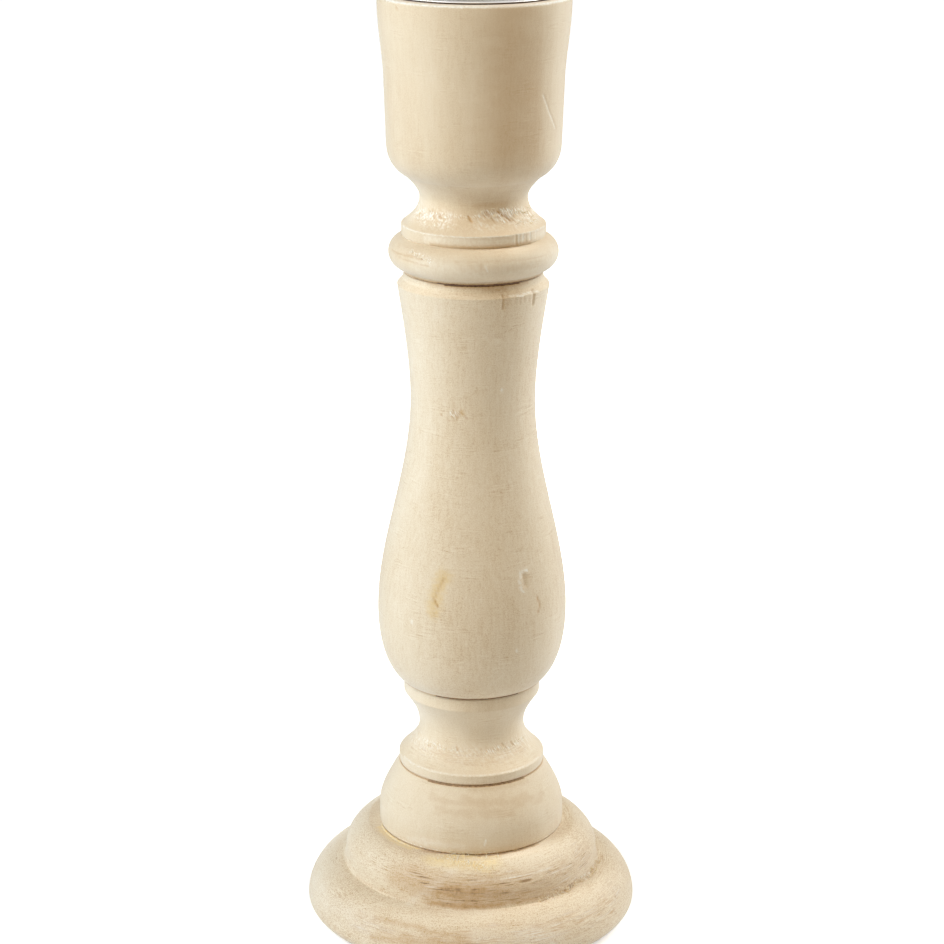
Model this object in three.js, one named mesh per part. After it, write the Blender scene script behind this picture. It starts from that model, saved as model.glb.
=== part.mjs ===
// Turned wooden candle holder: five glued sections on two hidden dowels, with a drawn metal insert in the cup.
// Millimetres, +Z up. The origin is the centre of the underside. Profiles are (radius, height) paths turned
// about Z, and each section's stations add up from its own foot.
import * as THREE from "three";

// Joints between the pieces
const seamGap = 0.3;
const edgeEase = 0.35;
const dowelClearance = 0.25;
const glueRoom = 1.5;

// Base: a wide lower tier and a narrower upper tier, which carries the dome on a ledge
const footRoundWidth = 6.4;
const footRoundHeight = 4.0;
const lowerTierRise = 10.4;
const tierStep = 9.9;
const upperTierSide = 4.1;
const upperTierLean = 0.65;
const upperTierRound = 6.85;
const upperTierShoulder = 6.15;
const tierLedge = 3.15;

// Pedestal dome, which narrows to the band of the collar
const domeRadius = 25.05;
const domeSide = 5.0;
const domeRound = 12.4;

// Cove collar
const collarBandRadius = 19.65;
const collarBandHeight = 2.7;
const collarBandLip = 0.3;
const collarWaistRadius = 14.15;
const collarLowerCove = 8.25;
const collarUpperCove = 9.5;
const collarFilletRadius = 18.3;
const collarFilletHeight = 3.65;

// Baluster
const balusterFootReveal = 0.6;
const bellyRadius = 25.2;
const bellyRise = 19.75;
const waistRadius = 16.35;
const waistRise = 58.0;
const balusterFlare = 30.6;
const lipOverhang = 1.75;
const lipChamfer = 1.5;
const balusterNeckRadius = 18.0;
const balusterNeckHeight = 1.65;

// Candle cup, whose mouth takes its width from the insert
const cupFootHeight = 0.75;
const beadHeight = 8.5;
const beadDepth = 3.75;
const quirkDepth = 0.4;
const filletRadius = 18.65;
const filletHeight = 2.75;
const cupNeckRadius = 13.95;
const neckRise = 6.95;
const throatRadius = 17.55;
const throatRise = 5.45;
const shoulderRise = 9.15;
const wallTaper = 0.5;
const lowerWallRise = 14.2;
const rimFlareOut = 1.65;
const upperWallRise = 21.5;
const rimWall = 3.5;
const rimRound = 0.8;

// Metal insert, for a tea light about 38 mm across
const insertInnerRadius = 20.3;
const insertDepth = 15.0;
const sheetThickness = 0.5;
const insertCorner = 2.0;
const flangeBearing = 0.5;
const insertClearance = 0.3;
const insertSeatGap = 0.1;
const insertFloorRoom = 0.4;

// Dowels
const dowelRadius = 5.0;
const dowelChamfer = 0.8;
const fluteCount = 12;
const fluteDepth = 0.4;
const lowerDowelInBase = 14.0;
const lowerDowelInBaluster = 16.0;
const upperDowelInBaluster = 16.0;
const upperDowelInCup = 14.0;

// Facets: sides of a turned section, sides per dowel flute, and steps of a rounded corner or a bead
const turnedSides = 40;
const sidesPerFlute = 4;
const cornerSteps = 4;
const beadSteps = 9;

// Free curves of the profile. A handle is a share of the curve's own run and rise, from its own end.
const tierNose = { leave: [0, 0.34], arrive: [0.74, 0.06], steps: 7 };
const tierFlare = { leave: [0.6, 0.13], arrive: [0, 0.5], steps: 3 };
const tierCrown = { leave: [0.02, 0.39], arrive: [0.455, 0.11], steps: 6 };
const domeCrown = { leave: [0, 0.27], arrive: [0.52, 0.36], steps: 6 };
const coveIn = { leave: [0.61, 0.34], arrive: [0, 0.37], steps: 6 };
const coveOut = { leave: [0, 0.39], arrive: [0.48, 0.295], steps: 6 };
const bellyOut = { leave: [0.68, 0.165], arrive: [0, 0.44], steps: 8 };
const vaseTaper = { leave: [0, 0.33], arrive: [0, 0.353], steps: 12 };
const vaseFlare = { leave: [0, 0.34], arrive: [0.335, 0.25], steps: 6 };
const neckIn = { leave: [0.56, 0.3], arrive: [0, 0.475], steps: 6 };
const throatOut = { leave: [0, 0.255], arrive: [0.665, 0.41], steps: 5 };
const cupShoulder = { leave: [0.75, 0.23], arrive: [0, 0.45], steps: 6 };
const rimFlare = { leave: [0, 0.3], arrive: [0.05, 0.4], steps: 5 };

// Levels of the stack, from the underside up
const baseTop = footRoundHeight + lowerTierRise + upperTierSide + upperTierRound;
const domeFoot = baseTop + seamGap;
const domeTop = domeFoot + domeSide + domeRound;
const collarFoot = domeTop + seamGap;
const collarTop = collarFoot + collarBandHeight + collarLowerCove + collarUpperCove + collarFilletHeight;
const balusterFoot = collarTop + seamGap;
const balusterLip = balusterFoot + bellyRise + waistRise + balusterFlare;
const balusterTop = balusterLip + lipChamfer + balusterNeckHeight;
const cupFoot = balusterTop + seamGap;
const neckLevel = cupFoot + cupFootHeight + beadHeight + quirkDepth + filletHeight + neckRise;
const rimTop = neckLevel + throatRise + shoulderRise + lowerWallRise + upperWallRise + rimRound;

// Fits that follow from the pieces that go into them
const dowelBoreRadius = dowelRadius + dowelClearance;
const insertOuterRadius = insertInnerRadius + sheetThickness;
const insertBoreRadius = insertOuterRadius + insertClearance;
const flangeRadius = insertBoreRadius + edgeEase + flangeBearing;
const flangeFoot = rimTop + insertSeatGap;
const insertTop = flangeFoot + sheetThickness;
const insertFloor = insertTop - insertDepth;
const insertUnderside = insertFloor - sheetThickness;
const insertBoreFloor = insertUnderside - insertFloorRoom;
const lowerDowelFoot = baseTop - lowerDowelInBase;
const lowerDowelTop = balusterFoot + lowerDowelInBaluster;
const upperDowelFoot = balusterTop - upperDowelInBaluster;
const upperDowelTop = cupFoot + upperDowelInCup;

// A profile in points: straight lines keep their ends, and each curve has its own steps
class Profile {
  constructor(radius, height) {
    this.points = [new THREE.Vector2(radius, height)];
  }

  get end() {
    return this.points[this.points.length - 1];
  }

  line(radius, height) {
    this.points.push(new THREE.Vector2(radius, height));
    return this;
  }

  along(curve, steps) {
    this.points.push(...curve.getPoints(steps).slice(1));
    return this;
  }

  // A free curve to a point, bent by the handles of its shape
  flow(radius, height, shape) {
    const from = this.end.clone();
    const to = new THREE.Vector2(radius, height);
    const span = to.clone().sub(from);
    const leaving = from.clone().add(new THREE.Vector2(...shape.leave).multiply(span));
    const arriving = to.clone().sub(new THREE.Vector2(...shape.arrive).multiply(span));
    return this.along(new THREE.CubicBezierCurve(from, leaving, arriving, to), shape.steps);
  }

  // A quarter round to a point, starting along the axis or across it
  corner(radius, height, startsUpright) {
    const { x, y } = this.end;
    const centre = startsUpright ? [radius, y] : [x, height];
    const reach = [Math.abs(radius - x), Math.abs(height - y)];
    const startAngle = Math.atan2((y - centre[1]) / reach[1], (x - centre[0]) / reach[0]);
    const endAngle = Math.atan2((height - centre[1]) / reach[1], (radius - centre[0]) / reach[0]);
    const clockwise = Math.sin(endAngle - startAngle) < 0;
    const arc = new THREE.EllipseCurve(...centre, ...reach, startAngle, endAngle, clockwise);
    return this.along(arc, cornerSteps);
  }

  // A bead that rises by its height and stands out by its depth
  bead(rise, depth, steps) {
    const { x, y } = this.end;
    const radius = (rise * rise / 4 + depth * depth) / (2 * depth);
    const halfAngle = Math.atan2(rise / 2, radius - depth);
    const arc = new THREE.EllipseCurve(x + depth - radius, y + rise / 2, radius, radius, -halfAngle, halfAngle);
    return this.along(arc, steps);
  }

  // Back to the first point, for a ring that doesn't reach the axis
  close() {
    return this.line(this.points[0].x, this.points[0].y);
  }
}

// The solid that a profile makes when it is turned about Z
function turned(profile, sides = turnedSides) {
  return new THREE.LatheGeometry(profile.points, sides).rotateX(Math.PI / 2);
}

function baseGeometry() {
  const crownRadius = domeRadius + tierLedge;
  const sideRadius = crownRadius + upperTierShoulder;
  const creaseRadius = sideRadius + upperTierLean;
  const creaseLevel = footRoundHeight + lowerTierRise;
  const baseRadius = creaseRadius + tierStep;
  const profile = new Profile(0, 0)
    .line(baseRadius - footRoundWidth, 0)
    .corner(baseRadius, footRoundHeight, false)
    .flow(creaseRadius, creaseLevel, tierNose)
    .flow(sideRadius, creaseLevel + upperTierSide, tierFlare)
    .flow(crownRadius, baseTop, tierCrown)
    .line(dowelBoreRadius, baseTop)
    .line(dowelBoreRadius, lowerDowelFoot - glueRoom)
    .line(0, lowerDowelFoot - glueRoom);
  return turned(profile);
}

function domeGeometry() {
  const profile = new Profile(dowelBoreRadius, domeFoot)
    .line(domeRadius - edgeEase, domeFoot)
    .line(domeRadius, domeFoot + edgeEase)
    .line(domeRadius, domeFoot + domeSide)
    .flow(collarBandRadius, domeTop, domeCrown)
    .line(dowelBoreRadius, domeTop)
    .close();
  return turned(profile);
}

function collarGeometry() {
  const coveFoot = collarFoot + collarBandHeight;
  const waistLevel = coveFoot + collarLowerCove;
  const filletFoot = waistLevel + collarUpperCove;
  const profile = new Profile(dowelBoreRadius, collarFoot)
    .line(collarBandRadius - edgeEase, collarFoot)
    .line(collarBandRadius, collarFoot + edgeEase)
    .line(collarBandRadius, coveFoot - collarBandLip)
    .line(collarBandRadius - collarBandLip, coveFoot)
    .flow(collarWaistRadius, waistLevel, coveIn)
    .flow(collarFilletRadius, filletFoot, coveOut)
    .line(collarFilletRadius, collarTop - edgeEase)
    .line(collarFilletRadius - edgeEase, collarTop)
    .line(dowelBoreRadius, collarTop)
    .close();
  return turned(profile);
}

function balusterGeometry() {
  const bellyLevel = balusterFoot + bellyRise;
  const profile = new Profile(0, lowerDowelTop + glueRoom)
    .line(dowelBoreRadius, lowerDowelTop + glueRoom)
    .line(dowelBoreRadius, balusterFoot)
    .line(collarFilletRadius + balusterFootReveal, balusterFoot)
    .flow(bellyRadius, bellyLevel, bellyOut)
    .flow(waistRadius, bellyLevel + waistRise, vaseTaper)
    .flow(balusterNeckRadius + lipOverhang, balusterLip, vaseFlare)
    .line(balusterNeckRadius + edgeEase, balusterLip + lipChamfer)
    .line(balusterNeckRadius, balusterTop)
    .line(dowelBoreRadius, balusterTop)
    .line(dowelBoreRadius, upperDowelFoot - glueRoom)
    .line(0, upperDowelFoot - glueRoom);
  return turned(profile);
}

function cupGeometry() {
  const rimRadius = insertBoreRadius + rimWall;
  const wallRadius = rimRadius - rimFlareOut;
  const beadFoot = cupFoot + cupFootHeight;
  const beadRootRadius = filletRadius - quirkDepth;
  const filletFoot = beadFoot + beadHeight + quirkDepth;
  const throatLevel = neckLevel + throatRise;
  const wallFoot = throatLevel + shoulderRise;
  const flareFoot = wallFoot + lowerWallRise;
  const profile = new Profile(0, upperDowelTop + glueRoom)
    .line(dowelBoreRadius, upperDowelTop + glueRoom)
    .line(dowelBoreRadius, cupFoot)
    .line(balusterNeckRadius, cupFoot)
    .line(beadRootRadius, beadFoot)
    .bead(beadHeight, beadDepth, beadSteps)
    .line(filletRadius, filletFoot)
    .line(filletRadius, filletFoot + filletHeight)
    .flow(cupNeckRadius, neckLevel, neckIn)
    .flow(throatRadius, throatLevel, throatOut)
    .flow(wallRadius - wallTaper, wallFoot, cupShoulder)
    .line(wallRadius, flareFoot)
    .flow(rimRadius, flareFoot + upperWallRise, rimFlare)
    .corner(rimRadius - rimRound, rimTop, true)
    .line(insertBoreRadius + edgeEase, rimTop)
    .line(insertBoreRadius, rimTop - edgeEase)
    .line(insertBoreRadius, insertBoreFloor)
    .line(0, insertBoreFloor);
  return turned(profile);
}

// The sheet is one thickness all over, so its corners share their centres inside and out
function insertGeometry() {
  const outerCorner = insertCorner + sheetThickness;
  const profile = new Profile(0, insertUnderside)
    .line(insertOuterRadius - outerCorner, insertUnderside)
    .corner(insertOuterRadius, insertUnderside + outerCorner, false)
    .line(insertOuterRadius, flangeFoot)
    .line(flangeRadius, flangeFoot)
    .line(flangeRadius, insertTop)
    .line(insertOuterRadius, insertTop)
    .corner(insertInnerRadius, insertTop - sheetThickness, false)
    .line(insertInnerRadius, insertFloor + insertCorner)
    .corner(insertInnerRadius - insertCorner, insertFloor, true)
    .line(0, insertFloor);
  return turned(profile);
}

// A chamfered pin with glue flutes along it
function dowelGeometry(foot, top) {
  const profile = new Profile(0, foot)
    .line(dowelRadius - dowelChamfer, foot)
    .line(dowelRadius, foot + dowelChamfer)
    .line(dowelRadius, top - dowelChamfer)
    .line(dowelRadius - dowelChamfer, top)
    .line(0, top);
  const geometry = turned(profile, fluteCount * sidesPerFlute);
  const position = geometry.getAttribute("position");
  for (let i = 0; i < position.count; i++) {
    const angle = Math.atan2(position.getY(i), position.getX(i));
    const flute = Math.max(0, Math.cos(angle * fluteCount));
    const share = 1 - (fluteDepth / dowelRadius) * flute;
    position.setXY(i, position.getX(i) * share, position.getY(i) * share);
  }
  return geometry;
}

const spindleWood = new THREE.MeshStandardMaterial({ color: 0xe6d6b8, roughness: 0.72, metalness: 0 });
const baseWood = new THREE.MeshStandardMaterial({ color: 0xe2cfae, roughness: 0.75, metalness: 0 });
const dowelWood = new THREE.MeshStandardMaterial({ color: 0xd2b48a, roughness: 0.8, metalness: 0 });
const sheetMetal = new THREE.MeshStandardMaterial({ color: 0xc9cacb, roughness: 0.3, metalness: 1 });

const candleHolder = new THREE.Group();
candleHolder.name = "candle_holder";

function addPiece(name, geometry, material) {
  const piece = new THREE.Mesh(geometry, material);
  piece.name = name;
  candleHolder.add(piece);
}

addPiece("base", baseGeometry(), baseWood);
addPiece("pedestal_dome", domeGeometry(), spindleWood);
addPiece("cove_collar", collarGeometry(), spindleWood);
addPiece("baluster", balusterGeometry(), spindleWood);
addPiece("candle_cup", cupGeometry(), spindleWood);
addPiece("metal_insert", insertGeometry(), sheetMetal);
addPiece("lower_dowel", dowelGeometry(lowerDowelFoot, lowerDowelTop), dowelWood);
addPiece("upper_dowel", dowelGeometry(upperDowelFoot, upperDowelTop), dowelWood);

export default candleHolder;
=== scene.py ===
"""Turned wooden candle holder: the finish of every piece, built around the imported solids.

Metres, +Z up, in the frame of the solids.
Angles round the holder start at the front (-Y) and grow to the right.
"""
import math
from collections import namedtuple

import bpy
import numpy as np
from bpy.props import FloatProperty, FloatVectorProperty, IntProperty, PointerProperty
from bpy.types import Operator, Panel, PropertyGroup
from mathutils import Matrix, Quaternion, Vector, noise


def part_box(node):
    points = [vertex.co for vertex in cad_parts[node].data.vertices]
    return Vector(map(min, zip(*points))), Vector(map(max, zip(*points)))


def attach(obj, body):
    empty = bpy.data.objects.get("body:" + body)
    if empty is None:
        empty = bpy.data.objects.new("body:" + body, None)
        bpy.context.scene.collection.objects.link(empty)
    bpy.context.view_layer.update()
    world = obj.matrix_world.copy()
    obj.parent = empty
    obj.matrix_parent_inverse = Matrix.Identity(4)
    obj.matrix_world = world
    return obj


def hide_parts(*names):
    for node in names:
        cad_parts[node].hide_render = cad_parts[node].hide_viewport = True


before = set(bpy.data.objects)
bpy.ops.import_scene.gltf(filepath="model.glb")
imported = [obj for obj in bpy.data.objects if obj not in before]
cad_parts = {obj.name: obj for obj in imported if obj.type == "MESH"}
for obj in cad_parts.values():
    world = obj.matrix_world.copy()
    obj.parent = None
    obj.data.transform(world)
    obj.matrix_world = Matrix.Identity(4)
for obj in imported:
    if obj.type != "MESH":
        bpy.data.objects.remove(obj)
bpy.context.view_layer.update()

bl_info = {
    "name": "Turned candle holder",
    "version": (1, 0, 0),
    "blender": (4, 5, 0),
    "location": "3D View > Sidebar > Candle holder",
    "description": "Builds the finished pieces of a turned wooden candle holder and the stage they stand on",
    "category": "Add Mesh",
}

MM = 0.001
WHITE = (1.0, 1.0, 1.0, 1.0)

# Spacing of a profile's points where the surface shows, and where it is hidden in a joint or a bore
SHOWN_PITCH = 0.36 * MM
HIDDEN_PITCH = 3.0 * MM
# Steps in which a run is walked to find its length
MEASURE_STEPS = 16
# Arrises sharper than this angle are eased, over this length on each side and at most this share of a step
SHARP_ANGLE = math.radians(20)
ARRIS_EASE = 0.18 * MM
EASE_SHARE = 0.45
# Step of the path along which a mark is pressed
TRACE_PITCH = 0.6 * MM
# How much flatter than wide the ragged lumps of a mark are, along the rings of the turning
STREAK = 2.5
# Points of a turned surface closer than this become one, along its seam and on the axis
MERGE_DISTANCE = 1e-7

# Room round a dowel in its hole, and past its end in a blind hole
DOWEL_CLEARANCE = 0.25 * MM
GLUE_ROOM = 1.5 * MM
# How far the shown ledge of the base runs in under the dome
LEDGE_LAP = 1.0 * MM
# The film of dried glue in a joint: its stain, its thickness under the upper section and how far it is
# squeezed out
JOINT_STAIN = 0.5
JOINT_FILM = 0.24 * MM
JOINT_SQUEEZE = 0.12 * MM

# Tones that the surface carries from point to point: brown stain and painted shade, pale torn grain and
# painted highlights, dried glue that also warms them, scratchy grain and grain frayed into leaning strokes
TONES = ("stain", "torn", "glue", "rough", "fray")
# How far the strokes of frayed grain lean over, as a share of their height
STROKE_LEAN = 0.6
# The map that a turned surface unrolls to: along the profile, and round the axis
UNROLLED_MAP = "OFBake"

# Noise that shapes a turned surface, as features per metre each way: patches of torn grain, the flecks in
# them and the slow ripple of the tool
TORN_PATCHES = (110, 110, 110)
TORN_FLECKS = (1900, 1900, 520)
TOOL_RIPPLE = (18, 18, 700)

# A loose fibre: how far its tip bends over and how high its knee is, as shares of its length, its tip's
# thickness as a share of the root's, its sway each way, its range of sizes, and its steps along and round
FIBRE_BEND = 0.35
FIBRE_KNEE = 0.55
FIBRE_TIP = 0.25
FIBRE_SWAY = np.array((0.7, 0.7, 1.2))
FIBRE_SIZES = (0.4, 1.2)
FIBRE_STEPS = 3

# The crust of glue: the angles between which it squeezed out and its step round, in degrees, and its
# section as shares of its width and height, out from the dome's side and up from the ledge
GLUE_RUNS = ((-78, -30), (-15, 5))
GLUE_STEP = 0.7
CRUST_SECTION = ((-0.3, -0.5), (1, -0.1), (0.8, 0.35), (0.35, 0.8), (0, 1), (-0.3, 0.6))
# The crust's lumps: their middle size, how much it varies, the pace of the change and the least size
CRUST_SIZE = 0.65
CRUST_CHANGE = 0.6
CRUST_PACE = 0.35
CRUST_LEAST = 0.08

# Width of the camera's sensor in millimetres
SENSOR_WIDTH = 36.0
# How far the floor lies under the holder, and how many times its reach the shadow takes to fade
FLOOR_DROP = 0.1 * MM
SHADOW_FADE = 3

# Free curves of the profiles. A handle is a share of the curve's own run and rise, from its own end.
Bend = namedtuple("Bend", "leave arrive")
TIER_NOSE = Bend((0, 0.34), (0.74, 0.06))
TIER_FLARE = Bend((0.6, 0.13), (0, 0.5))
TIER_CROWN = Bend((0.02, 0.39), (0.455, 0.11))
DOME_CROWN = Bend((0, 0.27), (0.52, 0.36))
COVE_IN = Bend((0.61, 0.34), (0, 0.37))
COVE_OUT = Bend((0, 0.39), (0.48, 0.295))
BELLY_OUT = Bend((0.68, 0.165), (0, 0.44))
VASE_TAPER = Bend((0, 0.33), (0, 0.353))
VASE_FLARE = Bend((0, 0.34), (0.335, 0.25))
NECK_IN = Bend((0.56, 0.3), (0, 0.475))
THROAT_OUT = Bend((0, 0.255), (0.665, 0.41))
CUP_SHOULDER = Bend((0.75, 0.23), (0, 0.45))
RIM_FLARE = Bend((0, 0.3), (0.05, 0.4))


def length(name, description, millimetres):
    """A size that a user can change, given in millimetres."""
    return FloatProperty(
        name=name, description=description, default=millimetres * MM, min=0.0, unit="LENGTH", precision=5
    )


def turn(name, description, degrees):
    """An angle that a user can change, given in degrees."""
    return FloatProperty(name=name, description=description, default=math.radians(degrees), subtype="ANGLE")


def share(name, description, default):
    """A strength from none to full."""
    return FloatProperty(
        name=name, description=description, default=default, min=0.0, max=1.0, subtype="FACTOR"
    )


def colour(name, description, default):
    """A linear colour that a user can change."""
    return FloatVectorProperty(
        name=name, description=description, default=default, size=3, min=0.0, max=1.0, subtype="COLOR"
    )


def count(name, description, default):
    """A whole number that a user can change."""
    return IntProperty(name=name, description=description, default=default, min=3)


def extent(node):
    """The outer radius of a turned solid, its foot and its top."""
    low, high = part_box(node)
    return high.x, low.z, high.z


def radius_of(node):
    return extent(node)[0]


def foot_of(node):
    return extent(node)[1]


def top_of(node):
    return extent(node)[2]


def bore_of(dowel):
    """The radius of the hole that a dowel stands in."""
    return radius_of(dowel) + DOWEL_CLEARANCE


class BaseSizes(PropertyGroup):
    """Sizes of the two-tier base."""

    foot_round_width: length("Foot round width", "Reach of the rounded foot edge in from the side", 6.4)
    foot_round_height: length("Foot round height", "Height of the widest ring", 4.0)
    crease_radius: length("Crease radius", "Radius of the crease between the tiers", 35.0)
    crease_height: length("Crease height", "Height of the crease between the tiers", 14.4)
    side_radius: length("Side radius", "Radius of the upper tier's side", 34.35)
    side_height: length("Side height", "Height where the upper tier starts to round over", 18.5)
    crown_radius: length("Crown radius", "Radius of the flat ledge under the dome", 28.2)
    sides: count("Sides", "Steps round the base", 600)


class DomeSizes(PropertyGroup):
    """Sizes of the pedestal dome."""

    side_height: length("Side height", "Height of the upright side", 5.0)
    foot_ease: length("Foot ease", "Size of the eased foot edge", 0.35)
    sides: count("Sides", "Steps round the dome", 480)


class CollarSizes(PropertyGroup):
    """Sizes of the cove collar."""

    band_height: length("Band height", "Height of the band at the foot", 2.7)
    band_lip: length("Band lip", "Eased edge of the band", 0.3)
    waist_radius: length("Waist radius", "Radius of the hollow waist", 14.15)
    waist_rise: length("Waist rise", "Rise of the lower cove", 8.25)
    fillet_radius: length("Fillet radius", "Radius of the top fillet", 18.3)
    fillet_height: length("Fillet height", "Height of the top fillet", 3.65)
    edge_ease: length("Edge ease", "Size of the eased joint edges", 0.35)
    sides: count("Sides", "Steps round the collar", 400)


class BalusterSizes(PropertyGroup):
    """Sizes of the vase-shaped stem."""

    foot_radius: length("Foot radius", "Radius where the stem meets the collar", 18.9)
    belly_rise: length("Belly rise", "Height of the belly above the foot", 19.75)
    waist_radius: length("Waist radius", "Radius of the waist", 16.35)
    flare_rise: length("Flare rise", "Rise from the waist to the lip", 30.6)
    lip_radius: length("Lip radius", "Radius of the lip", 19.75)
    lip_chamfer: length("Lip chamfer", "Rise of the bevel above the lip", 1.5)
    neck_radius: length("Neck radius", "Radius of the narrow top band", 18.0)
    neck_height: length("Neck height", "Height of the narrow top band", 1.65)
    neck_spread: length("Neck spread", "How much wider the foot of the top band is", 0.35)
    sides: count("Sides", "Steps round the stem", 270)


class CupSizes(PropertyGroup):
    """Sizes of the candle cup."""

    foot_radius: length("Foot radius", "Radius at the joint under the bead", 18.0)
    foot_height: length("Foot height", "Height of the narrow foot", 0.75)
    bead_height: length("Bead height", "Height of the bead", 8.5)
    bead_depth: length("Bead depth", "How far the bead stands out", 3.75)
    quirk: length("Quirk", "Depth of the groove over the bead", 0.4)
    fillet_radius: length("Fillet radius", "Radius of the fillet over the bead", 18.65)
    fillet_height: length("Fillet height", "Height of the fillet over the bead", 2.75)
    neck_radius: length("Neck radius", "Radius of the narrow neck", 13.95)
    neck_rise: length("Neck rise", "Rise from the fillet to the neck", 6.95)
    throat_radius: length("Throat radius", "Radius where the cup starts to swell", 17.55)
    throat_rise: length("Throat rise", "Rise from the neck to the swell", 5.45)
    wall_foot_radius: length("Wall foot radius", "Radius at the foot of the wall", 22.45)
    shoulder_rise: length("Shoulder rise", "Rise of the round shoulder", 9.15)
    wall_radius: length("Wall radius", "Radius where the rim starts to flare", 22.95)
    wall_rise: length("Wall rise", "Rise of the straight wall", 14.2)
    rim_round: length("Rim round", "Radius of the outer rim edge", 0.8)
    bore_ease: length("Bore ease", "Eased edge of the bore", 0.35)
    bore_room: length("Bore room", "Room round and under the insert", 0.35)
    sides: count("Sides", "Steps round the cup", 350)


class InsertSizes(PropertyGroup):
    """Sizes of the drawn metal insert."""

    sheet: length("Sheet", "Thickness of the sheet", 0.5)
    wall_radius: length("Wall radius", "Outer radius of the drawn wall", 20.8)
    corner: length("Corner", "Inner radius of the floor corner", 2.0)
    edge_round: length("Edge round", "Radius of the flange's upper edge", 0.15)
    sides: count("Sides", "Steps round the insert", 240)


class WoodFinish(PropertyGroup):
    """Colours and tooling of the raw wood."""

    light: colour("Light wood", "Palest stretches of the sapwood", (0.85, 0.74, 0.56))
    mid: colour("Middle wood", "Most of the wood", (0.76, 0.625, 0.43))
    deep: colour("Deep wood", "Darkest growth lines", (0.56, 0.37, 0.18))
    # The amber and brown colours also paint shade: a band down the cup's wall, the quirk under the fillet,
    # above the torn band, under the bead, beside a scratch and the dent, and beside the flange on the rim
    amber: colour("Amber", "Thin stains and scorched wood", (0.51, 0.278, 0.075))
    brown: colour("Brown", "Dirt and glue in cracks and joints", (0.13, 0.055, 0.014))
    # The torn wood and glue colours also paint highlights: along the rim's and the fillet's arrises, the
    # collar band's edge and the dent's edge, and over the bead and the fillet
    torn: colour("Torn wood", "Freshly torn fibres", (0.98, 0.95, 0.86))
    glue: colour("Glue", "Dried yellowish glue", (0.86, 0.68, 0.34))
    glue_width: length("Glue width", "How far the glue crust spreads over the ledge", 0.9)
    glue_height: length("Glue height", "How far the glue crust climbs the dome", 0.3)
    sheen: share("Sheen", "Soft light off the loose surface fibres", 0.5)
    ripple_depth: length("Ripple depth", "Depth of the slow ripple that the tool leaves", 0.03)
    tear_depth: length("Tear depth", "Depth of the torn grain", 0.12)
    fibre_length: length("Fibre length", "Length of a loose fibre", 1.0)
    fibre_width: length("Fibre width", "Thickness of a loose fibre at its root", 0.09)


class MetalFinish(PropertyGroup):
    """Colours of the drawn sheet."""

    bright: colour("Bright sheet", "Polished stretches", (0.66, 0.645, 0.61))
    dull: colour("Dull sheet", "Rubbed stretches", (0.52, 0.505, 0.475))
    # Dirt on the flange's cut edge, which also paints the shade and dark reflection on that edge
    dirt_and_shade: colour("Dirt", "Dirt along the cut edge of the flange", (0.15, 0.105, 0.065))


class StageSettings(PropertyGroup):
    """Camera, lamps and floor."""

    lens: FloatProperty(name="Lens", description="Focal length of the camera", default=100.0, unit="CAMERA")
    camera_place: FloatVectorProperty(
        name="Camera place",
        description="Where the camera stands",
        default=(-0.14 * MM, -661.3 * MM, 331.6 * MM),
        subtype="TRANSLATION",
        precision=5,
    )
    camera_pitch: turn("Camera pitch", "How far the camera looks down", 17.376)
    camera_roll: turn("Camera roll", "Turn of the camera about its view", 0.233)
    floor_size: length("Floor size", "Width of the floor", 8000)
    floor_colour: colour("Floor colour", "Colour of the floor", (0.85, 0.85, 0.85))
    floor_lift: share("Floor lift", "How much of the floor's white shows without light near the holder", 0.45)
    shadow_reach: length("Shadow reach", "How far the shadow shows from the axis", 90)
    room_light: share("Room light", "Strength of the even light all round", 0.0)
    lamp_distance: length("Lamp distance", "Distance of the lamps from the holder", 1100)
    lamp_size: length("Lamp size", "Width of the square lamps", 550)
    lamp_aim: length("Lamp aim", "Height that the lamps face", 130)


class HolderSettings(PropertyGroup):
    """All settings of the candle holder."""

    base: PointerProperty(type=BaseSizes)
    dome: PointerProperty(type=DomeSizes)
    collar: PointerProperty(type=CollarSizes)
    baluster: PointerProperty(type=BalusterSizes)
    cup: PointerProperty(type=CupSizes)
    insert: PointerProperty(type=InsertSizes)
    wood: PointerProperty(type=WoodFinish)
    metal: PointerProperty(type=MetalFinish)
    stage: PointerProperty(type=StageSettings)


# A lamp: its angles in degrees round the holder from the front and up, its power in watts, and its colour
Lamp = namedtuple("Lamp", "name azimuth elevation power colour")
LAMPS = (
    Lamp("Left key", -60, 40, 7.85, (0.98, 0.99, 1.0)),
    Lamp("Left edge", -90, 8, 5.75, (0.65, 0.82, 1.0)),
    Lamp("Right fill", 90, 40, 3.5, (1.0, 0.97, 0.92)),
    Lamp("Right back", 120, 40, 6.3, (0.93, 0.97, 1.0)),
    Lamp("Right edge", 120, 8, 3.0, (0.84, 0.93, 1.0)),
    Lamp("Front fill", 0, 40, 1.85, (1.0, 0.72, 0.34)),
)

# A mark on a turned surface: its path as (degrees, millimetres up) and on a ledge also the radius, its half
# width and depth in millimetres, the tones that it leaves, how ragged its edge is, and the size of the
# ragged lumps in millimetres
Mark = namedtuple(
    "Mark",
    "path width depth stain torn glue rough fray ragged lump",
    defaults=(0.0, 0.0, 0.0, 0.0, 0.0, 0.0, 0.3, 0.7),
)
# Strokes of torn grain: their range of lengths and half width in millimetres, their range of strengths,
# how ragged they are, and the depth of pale and of dark ones in millimetres
STROKE_REACH = (0.5, 1.4)
STROKE_WIDTH = 0.36
STROKE_STRENGTH = (0.6, 1.0)
STROKE_RAGGED = 0.2
PALE_DEPTH = 0.04
DARK_DEPTH = 0.2


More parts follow.
